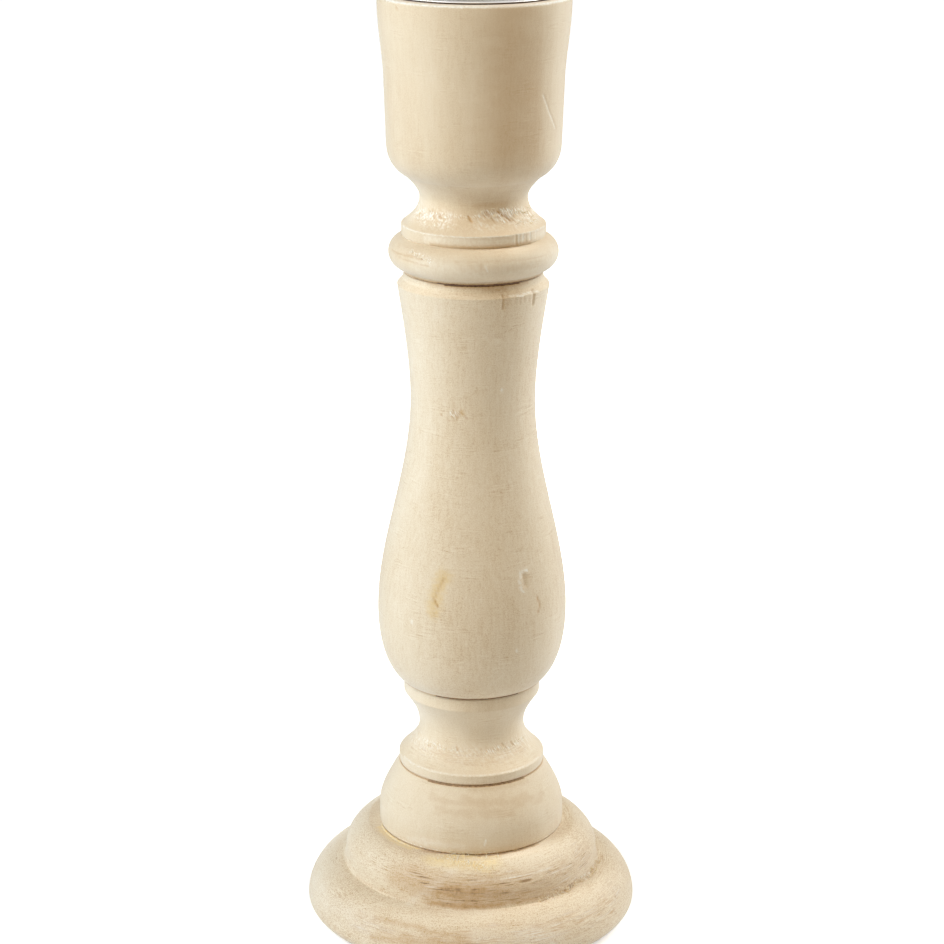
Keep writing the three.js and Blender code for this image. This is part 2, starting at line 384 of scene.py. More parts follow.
def torn_strokes(seed, total, angles, heights, lean, dark=0.6):
    """Strokes of torn grain over a patch in degrees and millimetres, leaning by degrees per millimetre.

    Every third stroke is dark, and the others are pale.
    """
    chance = np.random.default_rng(seed)
    strokes = []
    for step in range(total):
        angle, height = chance.uniform(*angles), chance.uniform(*heights)
        reach = chance.uniform(*STROKE_REACH)
        path = [(angle, height), (angle + lean * reach, height - reach)]
        strength = chance.uniform(*STROKE_STRENGTH)
        if step % 3:
            stroke = Mark(path, STROKE_WIDTH, PALE_DEPTH, torn=strength, ragged=STROKE_RAGGED)
        else:
            stroke = Mark(path, STROKE_WIDTH, DARK_DEPTH, stain=dark * strength, ragged=STROKE_RAGGED)
        strokes.append(stroke)
    return strokes


def ring(height, *angles, ledge=()):
    """A path round the turning at one height and, on a ledge, one radius."""
    return [(angle, height, *ledge) for angle in angles]


def flat(tone, *rows):
    """Marks of one tone without depth. A row gives strength, half width, ragged edge, lump and path."""
    return [
        Mark(path, width, ragged=ragged, lump=lump, **{tone: strength})
        for strength, width, ragged, lump, *path in rows
    ]


def pressed(tone, *rows):
    """Marks of one tone with depth. A row gives strength, half width, depth, ragged edge and path."""
    return [
        Mark(path, width, depth, ragged=ragged, **{tone: strength})
        for strength, width, depth, ragged, *path in rows
    ]


CUP_MARKS = (
    *torn_strokes(1, 26, (8, 44), (195.8, 197.8), 2.2, dark=0.45),
    *torn_strokes(2, 10, (-58, -22), (195.6, 197), -1.2),
    # Painted light: pale, warm tones over the bead and the fillet stand for the light on their upward faces
    Mark(ring(184.6, -40, 0, 75), 4.6, torn=0.3, glue=0.16, ragged=0.2, lump=4),
    Mark(ring(190.6, -40, 0, 75), 1.6, torn=0.34, glue=0.14, ragged=0.2, lump=4),
    *flat(
        "stain",
        (1.1, 0.6, 0.05, 0.7, *ring(179.45, -30, 6, 24, 44)),
        (0.9, 0.6, 0.05, 0.7, *ring(179.45, -56, -20, 36, 66)),
        # Painted shade: a broad darker band down the cup's wall, right of the front, where the lamps' light
        # falls off
        (0.31, 12, 0.2, 6, (22, 248), (22, 232), (22, 215)),
        # Dirt and painted shadow on the rim top beside the insert's flange
        (0.8, 0.7, 0.5, 0.7, *ring(250, -180, -90, 0, 90, 180, ledge=(21.9,))),
        # Painted shade in the quirk under the fillet
        (0.42, 0.8, 0.4, 0.7, *ring(189.3, -35, 0, 50)),
        (0.1, 5, 0.3, 4, (2, 246.5), (22, 246)),
        # Painted shadow along the right side of the pale scratch
        (0.16, 0.4, 0.2, 0.7, (50.2, 226.8), (57.2, 222.2), (66, 218)),
        (0.1, 1.5, 0.4, 0.7, (-8, 184.4), (20, 184.3), (55, 184.1)),
        # Painted shade above the torn band on the neck
        (0.24, 1.3, 0.5, 0.7, (2, 199), (16, 199), (34, 198.8)),
    ),
    *flat(
        "torn",
        # Painted highlight along the rim's rounded outer edge
        (1, 0.55, 0.4, 0.7, *ring(249.75, -180, -90, 0, 90, 180)),
        (0.8, 0.35, 0.2, 0.7, (9, 185.8), (8.2, 184.8), (9.2, 183.9)),
        # Painted highlight along the fillet's upper arris
        (0.55, 0.35, 0.8, 0.7, *ring(191.9, -75, -30, 10, 40, 75)),
    ),
    *flat(
        "fray",
        (0.5, 1.2, 0.6, 0.7, (-64, 195.6), (-40, 196), (-20, 196)),
        (0.7, 0.9, 0.7, 0.7, (-20, 196.2), (0, 196.2), (14, 196.6)),
        (1, 1.7, 0.5, 0.7, (12, 196.8), (30, 196.8), (48, 196.6), (70, 196)),
        (0.7, 1.6, 0.7, 0.7, (28, 195), (44, 194.4), (66, 194)),
        (0.8, 1.1, 0.7, 0.7, (-48, 187.2), (-40, 186.8), (-30, 186)),
    ),
    *pressed(
        "stain",
        (0.35, 0.5, 0.25, 0.3, (-51.5, 248.5), (-50, 248.1)),
        (0.45, 0.42, 0.2, 0.6, (-73, 185.9), (-63, 186), (-53, 186.1), (-43, 186.2), (-36, 186)),
        (0.34, 0.42, 0.12, 0.6, (-60, 185.1), (-45, 184.9), (-31, 184.5)),
        (0.2, 0.35, 0.06, 0.6, (-12, 186.2), (11, 186.2), (33, 186.1), (57, 185.9)),
        (0.22, 0.8, 0.06, 0.3, (5.6, 185.6), (5.2, 184.2)),
        (0.35, 0.35, 0.3, 0.2, (35.5, 189.3), (35.3, 191.9)),
        (0.22, 0.3, 0.2, 0.2, (45, 189.4), (45, 191.2)),
        (0.75, 0.55, 0.2, 0.3, (-36, 196.2), (-33, 195.4)),
        (0.8, 0.55, 0.25, 0.3, (-5, 196.3), (-2, 195.2)),
        (0.6, 0.55, 0.2, 0.3, (12, 197.4), (16, 196.6)),
        (0.75, 0.55, 0.25, 0.3, (25, 197.2), (30, 196.2)),
        (0.75, 0.55, 0.25, 0.3, (32, 196.2), (37, 195)),
    ),
    *pressed(
        "torn",
        (0.6, 0.38, 0.15, 0.2, (48, 227.1), (55, 222.5), (63.8, 218)),
        (0.9, 0.4, 0.15, 0.3, (38, 189.6), (38.3, 191.9)),
        (0.8, 0.35, 0.1, 0.3, (42, 189.8), (42.4, 191.9)),
        (0.8, 0.4, 0.15, 0.3, (50, 189.8), (50.5, 191.9)),
        (0.7, 0.35, 0.1, 0.3, (58, 190), (58, 191.9)),
    ),
)

BALUSTER_MARKS = (
    Mark([(-9.6, 145.8), (-8.8, 145.1)], 0.8, 0.08, stain=0.4, glue=0.4, ragged=0.2),
    Mark([(-17.9, 102.9), (-21.5, 99.6), (-23.7, 96.9)], 1, 0.08, stain=0.5, glue=0.5),
    Mark([(-18, 103.5), (-22.5, 98.5), (-24, 94)], 3.2, stain=0.2, glue=0.6, ragged=0.5, lump=1.6),
    *flat(
        "stain",
        (1.1, 0.6, 0.05, 0.7, *ring(67.65, -30, 8, 40)),
        (1.1, 0.6, 0.05, 0.7, *ring(179.2, -24, 10, 40)),
        # Painted shade under the bead's overhang, on the top band of the stem
        (0.36, 0.8, 0.3, 0.7, (-40, 179), (-10, 178.9), (20, 178.8), (50, 178.9)),
        (0.4, 1.1, 0.3, 0.7, (9, 178.5), (18, 178.5), (26, 178.3)),
        (0.2, 0.8, 0.3, 0.7, (14, 178.3), (28, 178.2)),
        (0.25, 0.35, 0.2, 0.7, *ring(143.3, -22.9, -16.4)),
        (0.12, 0.4, 0.2, 0.7, (38.5, 99), (41, 97.6), (43.6, 96.1)),
    ),
    *flat(
        "torn",
        # Painted highlight on the lit edge of the dent
        (0.8, 0.42, 0.9, 0.7, (38, 103.8), (32.2, 103.7), (31.3, 101.5), (31.4, 99.2), (33.4, 98.5)),
    ),
    *flat("fray", (0.9, 1.5, 0.6, 0.7, (-19, 145), (-14, 145.2), (-8, 145))),
    *pressed(
        "stain",
        (0.6, 0.5, 0.45, 0.2, (23, 176.9), (23, 173.4)),
        (0.2, 1, 0.25, 0.5, (26.5, 176.5), (26.8, 174.8)),
        (0.55, 0.5, 0.45, 0.2, (51.5, 176.9), (51.8, 173.2)),
        (0.22, 0.4, 0.15, 0.2, (33, 176), (33.2, 174.4)),
        (0.22, 0.4, 0.15, 0.2, (37, 176), (37.2, 174.2)),
        (0.22, 0.4, 0.15, 0.2, (41, 176), (41.2, 174.6)),
        (0.22, 0.4, 0.15, 0.2, (46, 176), (46.2, 174.4)),
        (0.3, 0.35, 0.04, 0.1, (-17.6, 148), (-16.4, 146.6)),
        (0.55, 0.4, 0.08, 0.1, (-18.2, 146.4), (-17.5, 145.3)),
        (0.5, 0.4, 0.06, 0.1, (-19.9, 144.5), (-17.1, 143.8)),
        (0.55, 0.4, 0.08, 0.1, (-15.1, 145.3), (-15.2, 144.3)),
        (0.6, 0.4, 0.08, 0.1, (-12.8, 144.7), (-15, 143.6)),
        (0.5, 0.4, 0.06, 0.1, (-11, 146.4), (-12.8, 144.9)),
        (0.5, 0.4, 0.06, 0.1, (-8.5, 145.3), (-4.9, 144)),
        (0.55, 0.5, 0.1, 0.3, (-30, 144.6), (-29.6, 144.4)),
        (0.8, 0.6, 0.12, 0.2, (-23.7, 97.4), (-22.5, 96.2), (-20.9, 95.2)),
        (0.8, 0.5, 0.15, 0.2, (-18.2, 102.6), (-18.4, 102.2)),
        (0.8, 0.5, 0.15, 0.2, (-23.2, 97), (-22.6, 96.4)),
        (0.08, 1, 0.4, 0.1, (34.6, 102.6), (35, 100.2)),
        # Painted shadow beside the dent
        (0.35, 0.4, 0.1, 0.2, (35, 102.2), (38.6, 102.1)),
        (0.66, 0.5, 0.1, 0.3, (43.6, 96.1), (45.7, 93.7), (43.7, 92)),
        (0.4, 0.42, 0.08, 0.2, (4.8, 91.8), (4.6, 88.2)),
    ),
    *pressed(
        "torn",
        (0.9, 0.5, 0.12, 1, (29, 176.5), (38, 176.3), (48, 176.5), (58, 176.3)),
        (0.9, 0.5, 0.12, 0.3, (26.7, 151.5), (26.9, 151)),
        (0.9, 0.5, 0.1, 0.3, (-38.6, 90), (-38.4, 89.4)),
        (0.9, 0.5, 0.1, 0.3, (28.3, 82.9), (28.5, 82.3)),
    ),
)

COLLAR_MARKS = (
    *flat("rough", (0.45, 3, 0.5, 2, (-60, 49.6), (-20, 50), (20, 50), (60, 49.6))),
    *flat(
        "fray",
        (0.6, 1.2, 0.7, 0.7, (-60, 51), (-36, 51.2), (-10, 51)),
        (0.65, 1.4, 0.7, 0.7, (16, 51), (40, 51.3), (70, 51)),
    ),
    *flat(
        "stain",
        (1, 0.5, 0.05, 0.7, *ring(43.2, -36, 6, 16, 46)),
        (0.12, 0.9, 0.8, 0.7, (-25, 48.6), (5, 48.4), (40, 48.7)),
    ),
    # Painted highlight along the top edge of the collar's band
    *flat("torn", (0.45, 0.35, 0.8, 0.7, *ring(46, -70, -20, 30, 70))),
    *pressed(
        "stain",
        (0.4, 0.42, 0.15, 0.3, (-48, 51.2), (-46.5, 50.5)),
        (0.45, 0.42, 0.15, 0.3, (-16, 51.9), (-14, 51.3)),
        (0.45, 0.42, 0.15, 0.3, (34, 52.2), (35.5, 51.5)),
        (0.4, 0.42, 0.15, 0.3, (46, 51.8), (48, 51)),
    ),
)

DOME_MARKS = (
    *flat(
        "fray",
        (0.9, 0.6, 0.9, 0.7, *ring(25.9, -13, -6, 5)),
        (0.3, 0.4, 1, 0.7, *ring(25.9, 8, 24, 36)),
    ),
    *flat(
        "stain",
        (1.05, 0.5, 0.05, 0.7, *ring(43, -36, 8, 20, 46)),
        (0.95, 0.45, 0.3, 0.7, *ring(25.55, -32, -18, 10, 44)),
        (0.2, 2.4, 0.9, 3, (-26, 39.4), (0, 39.6), (30, 39), (54, 37.4)),
        (0.18, 2, 0.9, 3, (-22, 37), (5, 36.8), (28, 36.3)),
        (0.2, 1, 0.6, 0.7, (0, 42.2), (25, 42.3), (48, 42)),
        (0.16, 1.4, 0.6, 0.7, (-10, 26.6), (14, 26.8), (32, 26.6)),
    ),
    *flat("torn", (0.22, 1.6, 0.7, 1.4, (-42, 27.5), (-20, 28), (-4, 27.6))),
    *pressed("torn", (0.9, 0.4, 0.08, 0.2, (8.2, 28.2), (9, 29.8))),
)

CREASE = [(32, 14.7), (43, 14.7), (54, 15), (62, 14.6), (71, 14.6), (81, 14.4)]
GLUE_SPILL = [(-17, 25.35, 26.6), (-9, 25.35, 27.5), (-2, 25.1, 28.8), (5, 24.6, 29.8)]
GLUE_EDGE = [(-12, 25.35, 25.8), (3, 25.35, 26), (15.5, 25.35, 26.3)]
GLUE_LEFT = [(-73, 25.35, 26), (-56, 25.35, 26.3), (-38, 25.35, 26.2)]
BASE_MARKS = (
    Mark(CREASE, 1.2, 0.12, stain=0.25, fray=1, ragged=1.4),
    Mark(GLUE_SPILL, 2.6, stain=0.12, glue=1, fray=0.8, ragged=0.8),
    Mark([(5, 24.6, 29.8), (9, 24, 30.8)], 2, glue=0.6, fray=0.5, ragged=0.8),
    Mark(GLUE_EDGE, 1.6, stain=0.12, glue=1, fray=0.5, ragged=0.6),
    Mark(GLUE_LEFT, 1.3, stain=0.1, glue=0.7, ragged=0.6),
    *flat("glue", (0.6, 3.6, 0.3, 3, (-22, 25.2, 28.4), (-8, 25, 29), (12, 24.9, 29))),
    *flat(
        "rough",
        (0.9, 5.5, 0.6, 3, (-30, 21), (10, 20.5), (40, 20), (66, 20)),
        (0.8, 2.6, 0.6, 2, (-20, 16.5), (25, 16.5), (66, 16)),
        (0.7, 6, 0.8, 4, (-4, 9), (30, 9.5), (66, 10)),
        (0.55, 4.5, 0.8, 3, (-45, 9), (-20, 8.5), (0, 9)),
    ),
    *flat(
        "torn",
        (0.14, 6, 0.4, 4, (-80, 9), (-58, 9), (-38, 9.5)),
        (0.24, 5, 0.5, 4, (2, 9.5), (14, 9), (30, 9)),
        (0.6, 0.35, 0.9, 0.7, (0, 21.9), (16, 21.8), (40, 22)),
        (0.5, 0.35, 0.9, 0.7, (-12, 18.9), (6, 18.6), (20, 18.2)),
        (0.25, 1.8, 0.5, 0.7, (-9, 23.6), (-15.4, 21.1), (-23, 17.1), (-28, 14.4)),
    ),
    *flat(
        "stain",
        (0.4, 7, 0.3, 4, (-34, 20.5), (-14, 19.5), (0, 19.5), (8, 19.5)),
        (0.12, 6, 0.3, 4, *ring(20, 20, 40, 66)),
        (0.14, 5, 0.3, 4, (-30, 8), (-15, 8.5), (-2, 8.5)),
        (0.4, 3.8, 0.5, 4, (-22, 8), (-12, 8.4), (-2, 8.4)),
        (0.76, 2.4, 0.6, 1.2, (-15, 18.4), (-11, 19.3), (-5, 19.8), (0.5, 19.3)),
        (0.74, 4.2, 0.4, 3, *ring(19.2, -11, -4)),
        (0.7, 4.6, 0.4, 3, (-6, 18.8), (4, 19)),
        (0.52, 4.6, 0.4, 3, *ring(18.8, 2, 14)),
        (0.35, 4.4, 0.4, 3, (10, 18.4), (24, 18)),
        (0.28, 4, 0.4, 3, (20, 17.8), (38, 17.2)),
        (0.72, 1.5, 0.3, 2, (-17, 15.6), (-8, 15.4), (0.5, 15.3)),
        (0.68, 1.4, 0.3, 2, (-4, 15.4), (8, 15.4), (14, 15.6)),
        (0.5, 1.2, 0.4, 2, (10, 15.5), (22, 15.6), (34, 15.4)),
        (0.68, 2.2, 0.4, 3, (-3, 16.9), (3, 16.8)),
        (0.45, 0.5, 0.8, 0.7, (-9, 17.4), (2, 17.6), (14, 17.2)),
        (0.4, 0.4, 0.8, 0.7, (-6, 21), (8, 20.6), (22, 20.2)),
        (0.35, 0.4, 0.9, 0.7, (-2, 22.9), (10, 22.8), (26, 22.9)),
        (0.32, 0.4, 0.9, 0.7, (8, 19.6), (26, 19.8), (48, 19.4)),
        (0.3, 0.4, 0.9, 0.7, (14, 16.8), (30, 16.9), (50, 16.6)),
        (0.4, 0.9, 0.8, 0.7, (22, 15.6), (35, 15.3), (51, 15)),
        (0.18, 0.8, 0.7, 0.7, (-62, 14.8), (-36, 15.3), (-27, 14.6), (-17, 15.4)),
        (0.2, 1.2, 0.9, 0.7, (2, 21.1), (12, 21.3), (22, 21.2), (34, 21.5), (51, 20.9)),
        (0.22, 0.7, 0.8, 0.7, (-7.6, 22.2), (2, 22.3), (14, 22.2)),
        (0.18, 0.8, 0.9, 0.7, (6, 18.4), (20, 18.8), (34, 18.4)),
        (0.2, 0.6, 0.5, 0.7, (-7.5, 23.3), (-13.5, 20.6)),
        (0.16, 0.5, 0.5, 0.7, (-58, 17.5), (-48, 16.5), (-36, 15.3), (-27, 14.5)),
        (0.12, 1, 0.8, 0.7, (-63, 21.3), (-50, 20.9), (-37, 20.4)),
        (0.36, 1.4, 0.4, 2, (-37, 11.1), (-31, 11.5), (-24, 11.5), (-17, 11.5)),
        (0.34, 1.8, 0.5, 0.7, (-17, 10.9), (-10, 10.9), (-3, 10.2)),
        (0.34, 1.6, 0.4, 2, (-36, 6.9), (-27, 7.9), (-16, 8.4)),
        (0.22, 0.6, 0.8, 0.7, (-30, 6), (-14, 7)),
        (0.18, 0.9, 1, 0.7, (3.6, 12.8), (12, 12.5), (20, 12.4)),
        (0.16, 0.8, 1, 0.7, (22, 11.3), (33, 11.4), (47, 12.2)),
        (0.8, 0.45, 0.5, 0.7, *ring(25.35, -40, -28, -16, ledge=(25.2,))),
        (0.95, 0.55, 0.4, 0.7, *ring(25.35, 4, 20, 46, ledge=(25.2,))),
        (0.12, 2.2, 0.5, 0.7, (-54, 25.3, 28.1), (-38, 25.2, 28.6), (-25, 25, 28.9)),
    ),
    *pressed(
        "stain",
        (0.75, 0.5, 0.3, 0.3, (51, 15), (52, 14.6)),
        (0.75, 0.5, 0.3, 0.3, (58, 14.8), (59, 14.5)),
        (0.75, 0.5, 0.3, 0.3, (64.5, 14.7), (65, 14.4)),
        (0.75, 0.5, 0.3, 0.3, (72, 14.7), (72.5, 14.4)),
    ),
)


class Profile:
    """A section's outline as (radius, height) points, with the tearing of the grain at each point, and its
    staining, which on the insert's flange edge also paints shade.
    """

    def __init__(self, radius, height):
        self.points = [(radius, height)]
        self.tears = [0.0]
        self.stains_and_shades = [JOINT_STAIN]

    def run(self, place, tear=0.0, shown=True, stain=0.0):
        """Points along a run, which place gives from 0 at its start to 1 at its end."""
        walked = [place(step / MEASURE_STEPS) for step in range(MEASURE_STEPS + 1)]
        reach = sum(math.dist(a, b) for a, b in zip(walked, walked[1:]))
        steps = max(1, round(reach / (SHOWN_PITCH if shown else HIDDEN_PITCH)))
        for step in range(1, steps + 1):
            self.points.append(place(step / steps))
            self.tears.append(tear * math.sin(math.pi * (step - 0.5) / steps) ** 2)
            self.stains_and_shades.append(stain if shown else JOINT_STAIN)
        return self

    def line(self, radius, height, tear=0.0, shown=True, stain=0.0):
        x, y = self.points[-1]
        return self.run(lambda t: (x + t * (radius - x), y + t * (height - y)), tear, shown, stain)

    def hidden(self, radius, height):
        return self.line(radius, height, shown=False)

    def jointed(self, radius, foot):
        """The underside of a section out to its edge, with the film of glue under it."""
        self.hidden(radius + JOINT_SQUEEZE, foot - JOINT_FILM)
        return self.hidden(radius + JOINT_SQUEEZE, foot + JOINT_SQUEEZE)

    def flow(self, radius, height, bend, tear=0.0):
        """A free curve to a point, bent by its handles."""
        start = np.array(self.points[-1])
        end = np.array((radius, height))
        span = end - start
        leaving = start + span * bend.leave
        arriving = end - span * bend.arrive

        def place(t):
            s = 1 - t
            return tuple(s**3 * start + 3 * s * s * t * leaving + 3 * s * t * t * arriving + t**3 * end)

        return self.run(place, tear)

    def corner(self, radius, height, upright):
        """A quarter round to a point, starting along the axis or across it."""
        x, y = self.points[-1]
        across, along = radius - x, height - y

        def place(t):
            sine, rest = math.sin(t * math.pi / 2), 1 - math.cos(t * math.pi / 2)
            return (x + across * rest, y + along * sine) if upright else (x + across * sine, y + along * rest)

        return self.run(place)

    def bead(self, rise, depth):
        """A round bead that rises by its height and stands out by its depth."""
        x, y = self.points[-1]
        radius = (rise * rise / 4 + depth * depth) / (2 * depth)
        half = math.atan2(rise / 2, radius - depth)

        def place(t):
            angle = half * (2 * t - 1)
            return (x + depth - radius + radius * math.cos(angle), y + rise / 2 + radius * math.sin(angle))

        return self.run(place)

    def close(self):
        """Back to the first point, for a ring that doesn't reach the axis."""
        return self.hidden(*self.points[0])

    def eased(self):
        """The points, their tearing, and their staining and painted shade, with every sharp arris rounded a
        little.
        """
        points, tears, stains_and_shades = [self.points[0]], [0.0], [self.stains_and_shades[0]]
        corners = zip(self.points, self.points[1:], self.points[2:])
        tones = zip(self.tears[1:], self.stains_and_shades[1:], self.stains_and_shades[2:])
        for (before, here, after), (tear, stain, next_stain_and_shade) in zip(corners, tones):
            come, leave = np.subtract(here, before), np.subtract(after, here)
            angle = math.atan2(come[0] * leave[1] - come[1] * leave[0], float(come @ leave))
            if abs(angle) < SHARP_ANGLE:
                points.append(here)
                tears.append(tear)
                stains_and_shades.append(stain)
                continue
            start = here - come * min(EASE_SHARE, ARRIS_EASE / np.linalg.norm(come))
            end = here + leave * min(EASE_SHARE, ARRIS_EASE / np.linalg.norm(leave))
            middle = (start + 2 * np.array(here) + end) / 4
            points += [tuple(start), tuple(middle), tuple(end)]
            tears += [tear] * 3
            stains_and_shades += [stain, max(stain, next_stain_and_shade), next_stain_and_shade]
        return points + [self.points[-1]], tears + [0.0], stains_and_shades + [self.stains_and_shades[-1]]

    def radius_at(self, height):
        """The outer radius at a height."""
        crossing = [0.0]
        for (r0, z0), (r1, z1) in zip(self.points, self.points[1:]):
            if min(z0, z1) <= height <= max(z0, z1):
                part = (height - z0) / (z1 - z0) if z1 != z0 else 1.0
                crossing.append(r0 + part * (r1 - r0))
        return max(crossing)

    def spot(self, degrees, height, radius=None):
        """The point of the surface at an angle round the front, a height and, on a ledge, a radius."""
        radius, angle = radius or self.radius_at(height), math.radians(degrees)
        return radius * math.sin(angle), -radius * math.cos(angle), height

    def mesh(self, name):
        """The outline as a wire in the XZ plane, with its tearing, and its staining and painted shade."""
        points, tears, stains_and_shades = self.eased()
        wire = bpy.data.meshes.new(name)
        wire.from_pydata([(r, 0, z) for r, z in points], [(i, i + 1) for i in range(len(points) - 1)], [])
        wire.attributes.new("torn", "FLOAT", "POINT").data.foreach_set("value", tears)
        wire.attributes.new("stain", "FLOAT", "POINT").data.foreach_set("value", stains_and_shades)
        return wire


def rgba(values):
    return (*values, 1.0)


class NodeDesk:
    """Adds nodes to a tree and joins their sockets."""

    def __init__(self, tree):
        self.tree = tree

    def add(self, kind, inputs=(), **settings):
        """A node with its settings, and its inputs joined to other nodes or set to values."""
        node = self.tree.nodes.new(kind)
        for key, value in settings.items():
            setattr(node, key, value)
        for key, value in dict(inputs).items():
            named = (s for s in node.inputs if s.name == key and s.enabled)
            socket = node.inputs[key] if isinstance(key, int) else next(named)
            if isinstance(value, bpy.types.Node):
                value = next(s for s in value.outputs if s.enabled)
            if isinstance(value, bpy.types.NodeSocket):
                self.tree.links.new(value, socket)
            else:
                socket.default_value = value
        return node

    def sockets(self, **kinds):
        """The tree's own inputs, by name, and its geometry output."""
        for name, kind in kinds.items():
            self.tree.interface.new_socket(name=name, in_out="INPUT", socket_type="NodeSocket" + kind)
        self.tree.interface.new_socket(name="Geometry", in_out="OUTPUT", socket_type="NodeSocketGeometry")
        return self.add("NodeGroupInput").outputs[: len(kinds)]

    def math(self, operation, a, b=0.0):
        return self.add("ShaderNodeMath", {0: a, 1: b}, operation=operation)

    def times(self, a, b):
        return self.math("MULTIPLY", a, b)

    def times_plus(self, a, b, c):
        """The first times the second, plus the third."""
        return self.add("ShaderNodeMath", {0: a, 1: b, 2: c}, operation="MULTIPLY_ADD")

    def whole(self, operation, a, b):
        return self.add("FunctionNodeIntegerMath", {0: a, 1: b}, operation=operation)

    def vector(self, operation, a, b):
        return self.add("ShaderNodeVectorMath", {0: a, 1: b}, operation=operation)

    def reach(self, place):
        """How far a place is from the origin."""
        return self.add("ShaderNodeVectorMath", {0: place}, operation="LENGTH").outputs["Value"]

    def split(self, place):
        """The three parts of a place."""
        return self.add("ShaderNodeSeparateXYZ", {0: place}).outputs

    def join(self, **parts):
        """A place made of its parts."""
        return self.add("ShaderNodeCombineXYZ", parts)

    def noise(self, place, features, seed, detail=2.0, roughness=0.5):
        """Noise from 0 to 1, with a number of features per metre each way."""
        stretched = self.vector("MULTIPLY", place, features)
        inputs = {"Vector": stretched, "W": seed, "Scale": 1.0, "Detail": detail, "Roughness": roughness}
        return self.add("ShaderNodeTexNoise", inputs, noise_dimensions="4D")

    def remap(self, value, low, high, to_low=0.0, to_high=1.0):
        """A smooth step between two values."""
        inputs = {"Value": value, "From Min": low, "From Max": high, "To Min": to_low, "To Max": to_high}
        return self.add("ShaderNodeMapRange", inputs, interpolation_type="SMOOTHSTEP")

    def mix(self, factor, a, b):
        return self.add("ShaderNodeMix", {"Factor": factor, "A": a, "B": b}, data_type="RGBA")

    def layered(self, start, *layers):
        """A start value with layers of noise on it, each by its amount and even about the start."""
        total = start - 0.5 * sum(amount for layer, amount in layers)
        for layer, amount in layers:
            total = self.times_plus(layer, amount, total)
        return total

    def ramp(self, value, *stops):
        """A colour that runs through stops of (position, colour)."""
        node = self.add("ShaderNodeValToRGB", {"Fac": value})
        elements = node.color_ramp.elements
        while len(elements) < len(stops):
            elements.new(0.5)
        for element, (position, shade) in zip(elements, stops):
            element.position = position
            element.color = rgba(shade)
        return node

    def tone(self, name):
        """A tone that the surface carries, for a material."""
        return self.add("ShaderNodeAttribute", attribute_name=name).outputs["Fac"]

    def carried(self, name):
        """A number that the mesh carries from point to point, for a tree."""
        return self.add("GeometryNodeInputNamedAttribute", {"Name": name}, data_type="FLOAT")

    def store(self, geometry, name, value, data_type="FLOAT", domain="POINT"):
        inputs = {"Geometry": geometry, "Name": name, "Value": value}
        return self.add("GeometryNodeStoreNamedAttribute", inputs, data_type=data_type, domain=domain)

    def finish(self, geometry, material):
        """Realizes the geometry, gives it its material and ends the tree."""
        smooth = self.add("GeometryNodeSetShadeSmooth", {"Geometry": geometry})
        real = self.add("GeometryNodeRealizeInstances", {"Geometry": smooth})
        dressed = self.add("GeometryNodeSetMaterial", {"Geometry": real, "Material": material})
        self.add("NodeGroupOutput", {"Geometry": dressed})
        return self.tree

    def relief(self, height, strength, depth):
        """Fine relief from a height, with its strength and its depth in millimetres."""
        return self.add("ShaderNodeBump", {"Strength": strength, "Distance": depth * MM, "Height": height})

    def glow(self, strength):
        return self.add("ShaderNodeEmission", {"Color": WHITE, "Strength": strength})

    def dress(self, base, roughness, **more):
        """Ends a material with its colour, roughness and other inputs, whose names use _ for spaces."""
        inputs = {"Base Color": base, "Roughness": roughness}
        inputs.update({name.replace("_", " "): value for name, value in more.items()})
        self.add("ShaderNodeOutputMaterial", {"Surface": self.add("ShaderNodeBsdfPrincipled", inputs)})


def leaning(desk, place):
    """A place pushed over with its height, for strokes that lean to one side."""
    x, y, z = desk.split(place)
    return desk.join(X=desk.times_plus(z, STROKE_LEAN, x), Y=y, Z=z)


def ringed(desk, place, rings):
    """A place whose height also grows inwards, for lines that follow the rings of a sloping surface."""
    x, y, z = desk.split(place)
    return desk.join(X=x, Y=y, Z=desk.times_plus(desk.reach(desk.join(X=x, Y=y)), -rings, z))


